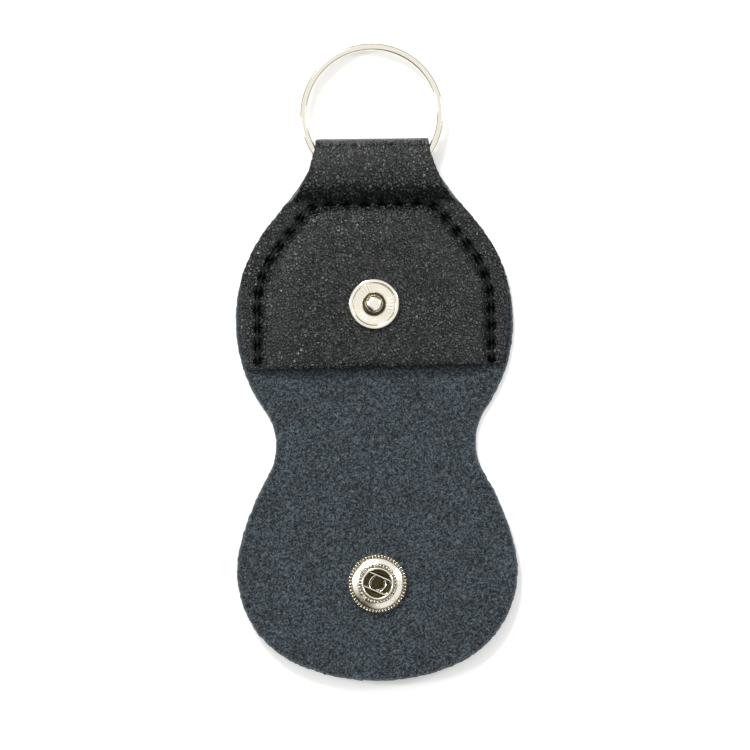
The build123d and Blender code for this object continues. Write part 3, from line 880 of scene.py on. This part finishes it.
def strip_loop(first, last, width, step=0.5):
    """The outline of a length of the sheet between two runs, anticlockwise."""
    runs = np.arange(first, last, 0.05)
    runs = np.append(runs, last)
    side = spaced(np.column_stack([width(runs), runs]), step)
    top = np.array(straight(tuple(side[-1]), (-side[-1][0], side[-1][1]), step))[1:]
    bottom = np.array(straight((-side[0][0], side[0][1]), tuple(side[0]), step))[1:]
    return np.vstack([side, top, side[::-1] * (-1, 1), bottom])


def flap_loop(start, step=0.5):
    """The outline of the flap below this distance from the crease, anticlockwise."""
    side = SIDE[SIDE[:, 1] < start]
    side = np.vstack([[half_width(start), start], side])
    side = spaced(side, step)
    top = np.array(straight(tuple(side[0]), (-side[0][0], side[0][1]), step))[1:]
    left = side[:-1] * (-1, 1)
    return np.vstack([side[::-1], top, left])


def seam_rows(run_of):
    """Rows of points on both sides of the seam, where the stitches draw the leather in."""
    line = spaced(SEAM, 0.3)
    along = np.gradient(line, axis=0)
    along /= np.hypot(*along.T)[:, None]
    normal = np.column_stack([-along[:, 1], along[:, 0]])
    rows = []
    for away in (0, 0.14, 0.28, 0.45, 0.7, 1.05, 1.45, 1.9, 2.4):
        for sign in {1, -1 if away else 1}:
            row = line + sign * away * normal
            row = row[row[:, 1] > MOUTH_Y + 0.5]
            rows.append(np.column_stack([row[:, 0], run_of(row[:, 1])]))
    return rows


def from_seam(x, y):
    """Each point's distance from the seam, below 0 outside it, and its place along it in stitches."""
    low_right, low_left = SEAM[0], SEAM[-1]
    tail = np.arange(0.1, 12, 0.1)
    tails = [
        np.column_stack([np.full(len(tail), low_right[0]), low_right[1] - tail])[::-1],
        np.column_stack([np.full(len(tail), low_left[0]), low_left[1] - tail]),
    ]
    line = np.vstack([tails[0], SEAM, tails[1]])
    shares = np.concatenate([np.zeros(len(tail)), SEAM_RUNS / SEAM_RUNS[-1], np.ones(len(tail))])
    index, distance = nearest(tree_of(line), np.column_stack([x, y]))
    order = np.argsort(SEAM[: len(SEAM) // 2, 1])
    limit = np.interp(y, SEAM[: len(SEAM) // 2, 1][order], SEAM[: len(SEAM) // 2, 0][order])
    within = (np.abs(x) < limit) & (y < SEAM_TOP_Y)
    return np.where(within, distance, -distance), shares[index] * STITCHES


def holder_relief(flat):
    """Heights over the plain sheet of the pocket's outer and inner faces: bulge, seam, mouth and waves."""
    x, run = flat.T
    y = np.interp(run, PATH_RUNS, PATH[:, 0])
    front = run > TURN_RUN
    away, stitch = from_seam(x, y)
    near_pocket = y < SEAM_TOP_Y + 3
    at_hole = 0.5 + 0.5 * np.cos(2 * math.pi * stitch)
    drawn = near_pocket * np.exp(-((away / (0.42 + 0.16 * at_hole)) ** 2))
    groove = 1.9 * GROOVE_DEPTH * drawn * (0.65 + 0.35 * at_hole)
    pucker_reach = np.where(away > 0, 1.15, 0.7)
    pucker = 0.28 * np.exp(-((away / pucker_reach) ** 2)) * at_hole * near_pocket
    seam_end = smooth((y - SEAM_START_Y + 0.9) / 0.9)
    rise = 0.5 * smooth((away - 0.3) / 1.7) + 0.5 * smooth((away - 0.3) / 7.0)
    puff = BULGE * rise * (y < SEAM_TOP_Y)
    lip = 0.45 * np.clip(1 - (y - MOUTH_Y) / 1.5, 0, 1) ** 2 * smooth(puff / BULGE)
    waves = 0.05 * roughness_of(flat, 7.0, 1.3) + 0.03 * roughness_of(flat, 2.6, 5.2)
    creases = 0.035 * roughness_of(np.column_stack([x * 0.45, run]), 1.3, 8.4)
    on_tab = np.clip((y - 43.5) / 3, 0, 1)
    flat_stud = smooth((np.hypot(x, y - SNAP_REACH) - STUD_RADIUS_MM) / 2.0)
    body = np.where(front, puff - lip + (waves + creases * (1 + on_tab)) * flat_stud, waves * 0.6)
    outer = body - (groove + pucker) * seam_end * np.where(front, 1, 0.7)
    return outer, body


STUD_RADIUS_MM = (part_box("snap_stud")[1].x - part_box("snap_stud")[0].x) / 2 / MM


def suede_waves(flat):
    """Slight waves of the flap, none near its join to the waist or round its socket."""
    fade = smooth((ZONE_STARTS[2] - FOLD_PITCH - flat[:, 1]) / 6)
    ring = smooth((np.hypot(flat[:, 0], flat[:, 1] + SNAP_REACH) - 5.5) / 3)
    waves = (0.06 * roughness_of(flat, 8.0, 2.2) + 0.025 * roughness_of(flat, 2.4, 6.1)) * fade * ring
    return -waves, -waves


# --- turned and pressed metal --------------------------------------------------------------------
def deselect():
    """Leaves edit mode and selects nothing."""
    if bpy.context.object and bpy.context.object.mode != "OBJECT":
        bpy.ops.object.mode_set(mode="OBJECT")
    bpy.ops.object.select_all(action="DESELECT")


def pick(piece):
    """Makes a piece the only one selected."""
    deselect()
    piece.select_set(True)
    bpy.context.view_layer.objects.active = piece


def turn_by(angle, axis, about=(0, 0, 0)):
    """Turns what is selected anticlockwise about an axis: with no window the operator goes the other way."""
    bpy.ops.transform.rotate(value=-angle, orient_axis=axis, center_override=about)


def soften(profile, rounds=2):
    """Cuts a profile's corners to a smooth curve, and keeps its ends."""
    points = [Vector(p) for p in profile]
    for _ in range(rounds):
        cut = [points[0]]
        for a, b in zip(points, points[1:]):
            cut += [a.lerp(b, 0.25), a.lerp(b, 0.75)]
        points = cut + [points[-1]]
    return [tuple(p) for p in points]


def turned(name, profile, steps):
    """A turned piece: one point drawn out along a profile of radius and height, and spun about the axis."""
    deselect()
    bpy.ops.mesh.primitive_plane_add(size=MM)
    piece = bpy.context.object
    piece.name = name
    bpy.ops.object.mode_set(mode="EDIT")
    bpy.ops.mesh.select_mode(type="VERT")
    bpy.ops.mesh.select_all(action="SELECT")
    bpy.ops.mesh.merge(type="CENTER")
    bpy.ops.transform.translate(value=(profile[0][0] * MM, 0, profile[0][1] * MM))
    for (r0, z0), (r1, z1) in zip(profile, profile[1:]):
        step = ((r1 - r0) * MM, 0, (z1 - z0) * MM)
        bpy.ops.mesh.extrude_region_move(TRANSFORM_OT_translate={"value": step})
    bpy.ops.mesh.select_all(action="SELECT")
    bpy.ops.mesh.spin(steps=steps, angle=2 * math.pi, center=(0, 0, 0), axis=(0, 0, 1))
    bpy.ops.mesh.select_all(action="SELECT")
    bpy.ops.mesh.remove_doubles(threshold=0.002 * MM)
    bpy.ops.mesh.normals_make_consistent(inside=False)
    bpy.ops.object.mode_set(mode="OBJECT")
    bpy.ops.object.shade_smooth_by_angle(angle=math.radians(40))
    return piece


def move_points(piece, chosen, shift):
    """Moves the points of a piece that a test chooses."""
    pick(piece)
    bpy.ops.object.mode_set(mode="EDIT")
    bpy.ops.mesh.select_mode(type="VERT")
    bpy.ops.mesh.select_all(action="DESELECT")
    bpy.ops.object.mode_set(mode="OBJECT")
    for vertex in piece.data.vertices:
        vertex.select = chosen(vertex.co / MM)
    bpy.ops.object.mode_set(mode="EDIT")
    bpy.ops.transform.translate(value=tuple(value * MM for value in shift))
    bpy.ops.object.mode_set(mode="OBJECT")


def spread_round(first, count):
    """Copies a piece evenly round the axis and joins the copies to it."""
    pieces = [first]
    for _ in range(count - 1):
        pick(pieces[-1])
        bpy.ops.object.duplicate()
        turn_by(2 * math.pi / count, "Z")
        pieces.append(bpy.context.object)
    return joined(pieces)


def joined(pieces):
    """Joins pieces into the first, with its place applied to its mesh."""
    deselect()
    for piece in pieces:
        piece.select_set(True)
    bpy.context.view_layer.objects.active = pieces[0]
    bpy.ops.object.join()
    bpy.ops.object.transform_apply(location=True, rotation=True, scale=True)
    return pieces[0]


def bead(radius, height, place, segments=12, rings=8):
    """A pressed bead: a ball, flattened, at its place."""
    deselect()
    bpy.ops.mesh.primitive_uv_sphere_add(
        segments=segments, ring_count=rings, radius=radius * MM, location=tuple(v * MM for v in place)
    )
    bpy.ops.transform.resize(value=(1, 1, height / radius))
    bpy.ops.object.transform_apply(location=True, rotation=True, scale=True)
    bpy.ops.object.shade_smooth()
    return bpy.context.object


def star(radius, height, place, slope):
    """A pressed five-pointed star: a ten-sided disc with every second corner drawn in."""
    deselect()
    bpy.ops.mesh.primitive_cylinder_add(vertices=10, radius=radius * MM, depth=height * MM)
    piece = bpy.context.object
    bpy.ops.object.mode_set(mode="EDIT")
    bpy.ops.mesh.select_all(action="DESELECT")
    bpy.ops.object.mode_set(mode="OBJECT")
    for vertex in piece.data.vertices:
        corner = round(math.atan2(vertex.co.y, vertex.co.x) / (math.pi / 5))
        vertex.select = corner % 2 == 0
    bpy.ops.object.mode_set(mode="EDIT")
    bpy.ops.mesh.select_mode(type="VERT")
    bpy.ops.transform.resize(value=(0.45, 0.45, 1), center_override=(0, 0, 0))
    bpy.ops.mesh.select_all(action="SELECT")
    bpy.ops.mesh.bevel(offset=0.05 * MM, segments=2, affect="EDGES", clamp_overlap=True)
    bpy.ops.object.mode_set(mode="OBJECT")
    turn_by(slope, "Y")
    bpy.ops.transform.translate(value=tuple(v * MM for v in place))
    bpy.ops.object.transform_apply(location=True, rotation=True, scale=True)
    return piece


def set_on_flap(piece, height):
    """Moves a piece from the origin to this height over the flap's outside, tilted as the flap is."""
    pick(piece)
    bpy.ops.transform.translate(value=(0, (CREASE_Y - SNAP_REACH) * MM, height * MM))
    for line_y in reversed(FOLD_YS):
        turn_by(-REST_BEND, "X", about=(0, (CREASE_Y + line_y) * MM, SHEET * MM))
    bpy.ops.object.transform_apply(location=True, rotation=True, scale=True)
    return piece


# --- operators -----------------------------------------------------------------------------------
class PICKHOLDER_OT_pocket(bpy.types.Operator):
    """Make the back panel, the ring tab and the front panel from one folded length of the sheet"""

    bl_idname = "pick_holder.pocket"
    bl_label = "Pocket and ring tab"

    def execute(self, context):
        pitch = context.scene.pick_holder_sizes.mesh_pitch / MM
        loop = strip_loop(ZONE_STARTS[0], MOUTH_RUN, cut_half_width)
        loop[:, 1] -= MOUTH_SLANT * loop[:, 0] * smooth((loop[:, 1] - MOUTH_RUN + 6) / 6)
        rows = seam_rows(front_run) + seam_rows(lambda y: y)
        stud_hole = ((0.0, float(front_run(SNAP_REACH))), STUD_HOLE)
        edges = ZONE_STARTS[:1]
        leather, suede = layered("holder", loop, [stud_hole], rows, pitch, edges, holder_relief)
        for piece, layer in ((leather, "leather"), (suede, "suede")):
            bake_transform(piece)
            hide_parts(f"back_panel_{layer}", f"front_panel_{layer}", f"ring_tab_{layer}")
        return {"FINISHED"}


class PICKHOLDER_OT_flap(bpy.types.Operator):
    """Make the waist's two strips and the flap"""

    bl_idname = "pick_holder.flap"
    bl_label = "Waist and flap"

    def execute(self, context):
        pitch = context.scene.pick_holder_sizes.mesh_pitch / MM
        bodies = ["pocket", "waist_1", "waist_2", "flap"]
        edges = ZONE_STARTS + [ZONE_STARTS[2] - FOLD_PITCH]
        strips = {"leather": [], "suede": []}
        for number in (1, 2):
            loop = strip_loop(edges[number], edges[number - 1], half_width)
            pieces = layered(f"waist_{number}", loop, [], [], pitch, edges)
            for piece, layer in zip(pieces, strips):
                self.hinge(piece, bodies[number - 1 : number + 1], edges[number - 1 : number + 1])
                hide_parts(f"waist_{number}_{layer}")
                strips[layer].append(piece)
        loop = flap_loop(edges[2])
        post_hole = ((0.0, -SNAP_REACH), POST_HOLE)
        pieces = layered("flap", loop, [post_hole], [], pitch, edges[2:3], suede_waves)
        for piece, layer in zip(pieces, strips):
            self.hinge(piece, bodies[2:], edges[2:])
            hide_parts(f"flap_{layer}")
        return {"FINISHED"}

    def hinge(self, piece, bodies, edges):
        """Applies a piece's place to its mesh; the bodies and the distances from the crease are not used."""
        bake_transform(piece)


class PICKHOLDER_OT_seam(bpy.types.Operator):
    """Sew the seam: one stitch, copied along both of its sides"""

    bl_idname = "pick_holder.seam"
    bl_label = "Seam"

    def execute(self, context):
        marks = [SEAM_RUNS[-1] * (n + 0.5) / STITCHES for n in range(STITCHES)]
        for name, height in (("seam_top_thread", 2 * SHEET - 0.42), ("seam_bobbin_thread", 0.36)):
            stitch = self.stitch()
            copies = []
            for mark in marks:
                pick(stitch)
                bpy.ops.object.duplicate()
                copy = bpy.context.object
                x, y = (np.interp(mark, SEAM_RUNS, SEAM[:, axis]) for axis in (0, 1))
                dx, dy = (
                    np.interp(mark + 0.5, SEAM_RUNS, SEAM[:, axis])
                    - np.interp(mark - 0.5, SEAM_RUNS, SEAM[:, axis])
                    for axis in (0, 1)
                )
                copy.rotation_euler.z = math.atan2(dy, dx)
                copy.location = (x * MM, (y + CREASE_Y) * MM, height * MM)
                copies.append(copy)
            bpy.data.objects.remove(stitch)
            seam = joined(copies)
            seam.name = f"{name}_sewn"
            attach(finished(seam, "seam_thread"), "pocket")
            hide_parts(name)
        return {"FINISHED"}

    def stitch(self):
        """One stitch: a ball drawn out between its holes, with its middle drawn flat."""
        deselect()
        bpy.ops.mesh.primitive_uv_sphere_add(segments=12, ring_count=12, radius=THREAD / 2 * MM)
        turn_by(math.pi / 2, "Y")
        bpy.ops.object.transform_apply(location=True, rotation=True, scale=True)
        bpy.ops.transform.resize(value=(STITCH_LENGTH / THREAD, 1, 0.8))
        bpy.ops.object.transform_apply(location=True, rotation=True, scale=True)
        bpy.ops.object.shade_smooth()
        return bpy.context.object


class PICKHOLDER_OT_ring(bpy.types.Operator):
    """Wind the split ring: two turns of flattened wire, with the climb between them inside the tab"""

    bl_idname = "pick_holder.ring"
    bl_label = "Split ring"

    def execute(self, context):
        low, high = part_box("split_ring")
        radius = (high.x - low.x) / 2
        width, thickness, gap = 1.2 * MM, 0.9 * MM, 0.04 * MM
        climb = math.radians(28)
        mean = radius - width / 2
        level = (thickness + gap) / 2
        deselect()
        bpy.ops.mesh.primitive_plane_add(size=1, rotation=(math.pi / 2, 0, 0), location=(mean, 0, -level))
        ring = bpy.context.object
        ring.name = "split_ring_wound"
        ring.scale = (width, thickness, 1)
        bpy.ops.object.transform_apply(location=True, rotation=True, scale=True)
        bpy.ops.object.mode_set(mode="EDIT")
        bpy.ops.mesh.select_all(action="SELECT")
        bpy.ops.mesh.bevel(offset=0.34 * MM, segments=5, affect="VERTICES")
        bpy.ops.mesh.select_all(action="SELECT")
        turn_by(-math.pi / 2 + climb / 2, "Z")
        self.wind(150, 2 * math.pi - climb, 0)
        self.wind(14, climb, 2 * level)
        self.wind(150, 2 * math.pi - climb, 0)
        bpy.ops.object.mode_set(mode="OBJECT")
        pick(ring)
        bpy.ops.object.mode_set(mode="EDIT")
        bpy.ops.mesh.select_all(action="SELECT")
        bpy.ops.mesh.normals_make_consistent(inside=False)
        bpy.ops.object.mode_set(mode="OBJECT")
        axis = Vector(JOINTS["ring_spin"]["axis"])
        turn_by(-math.atan2(axis.y, axis.z), "X")
        bpy.ops.transform.translate(value=tuple(JOINTS["ring_spin"]["pos_m"]))
        bpy.ops.object.transform_apply(location=True, rotation=True, scale=True)
        bpy.ops.object.shade_smooth_by_angle(angle=math.radians(35))
        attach(finished(ring, "nickel_ring"), "ring")
        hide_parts("split_ring")
        return {"FINISHED"}

    def wind(self, steps, angle, rise):
        """Draws the wire's end on round the axis, rising evenly."""
        for _ in range(steps):
            bpy.ops.mesh.extrude_region_move(TRANSFORM_OT_translate={"value": (0, 0, rise / steps)})
            turn_by(angle / steps, "Z")


class PICKHOLDER_OT_stud(bpy.types.Operator):
    """Press the male half: a dished flange with a raised rim, knurled ticks and a ball on a neck"""

    bl_idname = "pick_holder.stud"
    bl_label = "Stud"

    def execute(self, context):
        edge = STUD_RADIUS_MM
        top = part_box("snap_stud")[1].z / MM - STUD_FOOT_Z
        flange = soften(
            [
                (0.8, 0.0),
                (edge - 0.2, 0.0),
                (edge, 0.05),
                (edge, 0.72),
                (edge - 0.12, 0.9),
                (edge - 0.55, 0.9),
                (edge - 0.72, 0.78),
                (edge - 0.78, 0.6),
                (edge - 0.86, 0.74),
            ]
        )
        face = [(3.4, 0.75), (3.1, 0.72), (2.7, 0.68), (2.35, 0.65), (2.1, 0.62)]
        ball = soften(
            [
                (1.95, 0.55),
                (1.75, 0.42),
                (1.5, 0.55),
                (1.15, 0.72),
                (1.0, 1.0),
                (1.0, 1.6),
                (1.32, 1.82),
                (1.5, 2.05),
                (1.42, 2.3),
                (1.1, top - 0.14),
                (0.6, top),
                (0.0, top),
            ],
            3,
        )
        stud = turned("snap_stud_pressed", flange + face + ball, 192)

        def in_tick(point):
            radius, angle = math.hypot(point.x, point.y), math.atan2(point.y, point.x)
            turn = angle / (2 * math.pi / TICKS)
            return 2.3 < radius < 3.45 and point.z > 0.3 and abs(turn - round(turn)) < 0.05

        move_points(stud, in_tick, (0, 0, -0.07))
        pick(stud)
        bpy.ops.transform.translate(value=(0, 0, STUD_FOOT_Z * MM))
        bpy.ops.object.transform_apply(location=True, rotation=True, scale=True)
        finished(stud, "nickel_snap")
        # Painted shade: the throat round the neck under the ball gets the dark metal.
        throat = STUD_FOOT_Z + 1.35
        shade_inside(stud, lambda point: point.xy.length < 1.9 and STUD_FOOT_Z < point.z < throat)
        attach(stud, "pocket")
        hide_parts("snap_stud")
        return {"FINISHED"}


class PICKHOLDER_OT_socket(bpy.types.Operator):
    """Press the female half's shell: beaded rim, starred slope and a rolled lip round its mouth"""

    bl_idname = "pick_holder.socket"
    bl_label = "Socket"

    def execute(self, context):
        wall = soften(
            [
                (4.72, 0.0),
                (5.02, 0.0),
                (5.15, 0.1),
                (5.15, 0.72),
                (5.02, 0.8),
                (4.7, 0.8),
                (4.55, 1.18),
                (3.6, 1.48),
                (3.3, 1.6),
                (3.05, 1.95),
                (2.95, 2.5),
                (2.72, 2.7),
                (2.52, 2.7),
                (2.4, 2.56),
                (2.4, 2.3),
            ]
        )
        inside = [(2.9, 2.3), (2.9, 1.8), (2.4, 1.8), (2.4, 0.7), (3.9, 0.31), (4.72, 0.31), (4.72, 0.0)]
        shell = turned("shell_body", wall + inside, 128)
        rim = spread_round(bead(0.22, 0.3, (4.9, 0, 0.92)), RIM_BEADS)
        inner = spread_round(bead(0.19, 0.2, (3.27, 0, 1.62)), INNER_BEADS)
        stars = spread_round(star(0.62, 0.3, (3.98, 0, 1.38), math.radians(17)), STARS)
        socket = joined([shell, rim, inner, stars])
        socket.name = "snap_socket_shell_pressed"
        finished(socket, "nickel_snap")
        # Painted shade: the mouth's bore and the ledge under the rim's beads get the dark metal.
        shade_inside(socket, lambda point: point.xy.length < 2.95 and point.z < 2.45)
        shade_inside(socket, lambda point: 4.62 < point.xy.length < 5.1 and 0.6 < point.z < 0.83)
        set_on_flap(socket, SHEET)
        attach(socket, "flap")
        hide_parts("snap_socket_shell")
        return {"FINISHED"}


class PICKHOLDER_OT_post(bpy.types.Operator):
    """Flare the cap's hollow post over the socket's plate, split into petals"""

    bl_idname = "pick_holder.post"
    bl_label = "Flared post"

    def execute(self, context):
        foot = SHEET + 0.3
        profile = [(0.0, -0.8), (3.9, -0.8), (4.4, -0.5), (4.4, -0.02), (1.2, -0.02), (1.2, foot)]
        profile += [(1.5, foot + 0.02), (1.67, foot + 0.2), (1.55, foot + 0.36), (1.42, foot + 0.26)]
        profile += [(1.36, foot + 0.26), (1.2, foot + 0.36), (1.02, foot + 0.24), (0.98, foot - 0.2)]
        profile += [(0.98, -0.45), (0.0, -0.45)]
        post = turned("snap_cap_post_flared", profile, 32)

        def at_split(point):
            turn = math.atan2(point.y, point.x) + math.radians(90)
            return point.z > foot + 0.1 and point.xy.length > 1.15 and abs(turn) < 0.1

        move_points(post, at_split, (0, 0, -0.2))
        finished(post, "nickel_snap")
        # Painted shade: the hollow post's bore gets the dark metal.
        shade_inside(post, lambda point: point.xy.length < 0.985 and point.z > -0.6)
        set_on_flap(post, 0)
        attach(post, "flap")
        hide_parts("snap_cap_post")
        return {"FINISHED"}


class PICKHOLDER_OT_cap(bpy.types.Operator):
    """Press the domed cap on the outside of the flap"""

    bl_idname = "pick_holder.cap"
    bl_label = "Cap"

    def execute(self, context):
        outside = soften([(0.0, -1.1), (2.2, -1.1), (3.6, -1.08), (4.8, -0.75), (5.2, -0.25), (5.2, 0.0)], 3)
        inside = soften([(4.9, 0.0), (4.9, -0.25), (4.5, -0.62), (4.1, -0.82), (0.0, -0.82)], 2)
        cap = turned("snap_cap_domed", outside + inside, 96)
        set_on_flap(cap, 0)
        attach(finished(cap, "nickel_snap"), "flap")
        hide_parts("snap_cap")
        return {"FINISHED"}


class PICKHOLDER_OT_hidden_metal(bpy.types.Operator):
    """Give the rivet, the socket's plate and its wire spring their finishes"""

    bl_idname = "pick_holder.hidden_metal"
    bl_label = "Rivet, plate and spring"

    def execute(self, context):
        finishes = {
            "snap_stud_rivet": "nickel_snap",
            "snap_socket_base": "nickel_snap",
            "snap_socket_spring": "spring_wire",
        }
        for name, slot_name in finishes.items():
            node = frame["nodes"][name]
            node.data.materials.clear()
            node.data.materials.append(material_for(slot_name))
        # Painted shade: the socket's plate, deep inside it, gets the dark metal in place of nickel.
        base = frame["nodes"]["snap_socket_base"]
        base.data.materials[0] = painted_shade_metal()
        return {"FINISHED"}


class PICKHOLDER_OT_stage(bpy.types.Operator):
    """Lay the floor and set up the studio's light and camera"""

    bl_idname = "pick_holder.stage"
    bl_label = "Stage"

    def execute(self, context):
        deselect()
        bpy.ops.mesh.primitive_plane_add(size=3, location=(0, 0, CAD_BOX[0][2]))
        floor = bpy.context.object
        floor.name = "studio_floor"
        floor.data.materials.append(self.paper())
        self.lamp("key", (-0.16, 0.36, 0.45), 0.11, 2.0)
        self.lamp("left", (-0.42, 0.06, 0.4), 0.1, 0.9)
        self.lamp("right", (0.4, 0.16, 0.42), 0.12, 0.6)
        world = bpy.data.worlds.new("studio")
        world.use_nodes = True
        self.light_world(world)
        context.scene.world = world
        context.scene.view_settings.view_transform = "Standard"
        self.camera(context)
        return {"FINISHED"}

    def light_world(self, world):
        """A broad soft light overhead, dim walls, and a brown one at the front left for metal to reflect."""
        place = add(world, "ShaderNodeTexCoord").outputs["Generated"]
        height = add(world, "ShaderNodeSeparateXYZ", {"Vector": place}).outputs["Z"]
        overhead = add(
            world,
            "ShaderNodeMapRange",
            {"Value": height, "From Min": 0.5, "From Max": 0.76, "To Min": 0.12, "To Max": 1.06},
            interpolation_type="SMOOTHSTEP",
        )
        facing = add(
            world,
            "ShaderNodeVectorMath",
            {0: place, 1: (-0.5, -0.62, 0.6)},
            operation="DOT_PRODUCT",
        )
        share = add(
            world,
            "ShaderNodeMapRange",
            {"Value": facing.outputs["Value"], "From Min": 0.82, "From Max": 0.97},
            interpolation_type="SMOOTHSTEP",
        )
        walls = add(
            world,
            "ShaderNodeMix",
            {0: share.outputs[0], 6: rgba(srgb("ffffff")), 7: rgba(srgb("4a3d30"))},
            data_type="RGBA",
        )
        sky = world.node_tree.nodes["Background"]
        world.node_tree.links.new(walls.outputs[2], sky.inputs["Color"])
        world.node_tree.links.new(overhead.outputs[0], sky.inputs["Strength"])

    def paper(self):
        """Matt white paper, a hair warm."""
        material = blank_material("white_paper")
        place = add(material, "ShaderNodeTexCoord").outputs["Object"]
        tooth = add(material, "ShaderNodeTexNoise", {"Vector": place, "Scale": 900.0, "Detail": 2.0})
        bump = add(
            material, "ShaderNodeBump", {"Height": tooth.outputs[0], "Strength": 0.05, "Distance": 0.05 * MM}
        )
        return finish_material(
            material,
            Base_Color=rgba(srgb("fbfbfa")),
            Roughness=0.8,
            Normal=bump.outputs[0],
            Emission_Color=rgba(srgb("ffffff")),
            Emission_Strength=0.2,
        )

    def lamp(self, name, place, size, power):
        """A square soft box turned to the object."""
        light = bpy.data.lights.new(name, "AREA")
        light.size = size
        light.energy = power
        lamp = bpy.data.objects.new(name, light)
        bpy.context.scene.collection.objects.link(lamp)
        lamp.location = place
        aim = Vector((0, -0.01, 0)) - Vector(place)
        lamp.rotation_euler = aim.to_track_quat("-Z", "Y").to_euler()

    def camera(self, context):
        """A camera looking straight down from well above, turned a little off the holder's axis."""
        reach, view_width = 0.6, 0.131
        lens = bpy.data.cameras.new("camera")
        lens.sensor_width = 36
        lens.lens = lens.sensor_width * reach / view_width
        camera = bpy.data.objects.new("camera", lens)
        context.scene.collection.objects.link(camera)
        camera.location = (0, -0.0123, reach)
        camera.rotation_euler = (0, 0, math.radians(-0.7))
        context.scene.camera = camera


class PICKHOLDER_PT_panel(bpy.types.Panel):
    """Lists the holder's steps in the order in which they are built"""

    bl_idname = "PICKHOLDER_PT_panel"
    bl_label = "Pick holder"
    bl_space_type = "VIEW_3D"
    bl_region_type = "UI"
    bl_category = "Pick holder"

    def draw(self, context):
        for group in (context.scene.pick_holder_sizes, context.scene.pick_holder_colours):
            for name in group.bl_rna.properties.keys():
                if name not in ("rna_type", "name"):
                    self.layout.prop(group, name)
        for step in STEPS:
            self.layout.operator(step.bl_idname)


STEPS = (
    PICKHOLDER_OT_pocket,
    PICKHOLDER_OT_flap,
    PICKHOLDER_OT_seam,
    PICKHOLDER_OT_ring,
    PICKHOLDER_OT_stud,
    PICKHOLDER_OT_socket,
    PICKHOLDER_OT_post,
    PICKHOLDER_OT_cap,
    PICKHOLDER_OT_hidden_metal,
    PICKHOLDER_OT_stage,
)
CLASSES = (PickHolderSizes, PickHolderColours, *STEPS, PICKHOLDER_PT_panel)


def register():
    for each in CLASSES:
        bpy.utils.register_class(each)
    bpy.types.Scene.pick_holder_sizes = PointerProperty(type=PickHolderSizes)
    bpy.types.Scene.pick_holder_colours = PointerProperty(type=PickHolderColours)


def unregister():
    del bpy.types.Scene.pick_holder_sizes
    del bpy.types.Scene.pick_holder_colours
    for each in reversed(CLASSES):
        bpy.utils.unregister_class(each)


def main():
    """Builds the holder step by step."""
    register()
    for step in STEPS:
        group, name = step.bl_idname.split(".")
        getattr(getattr(bpy.ops, group), name)()


if __name__ == "__main__":
    main()
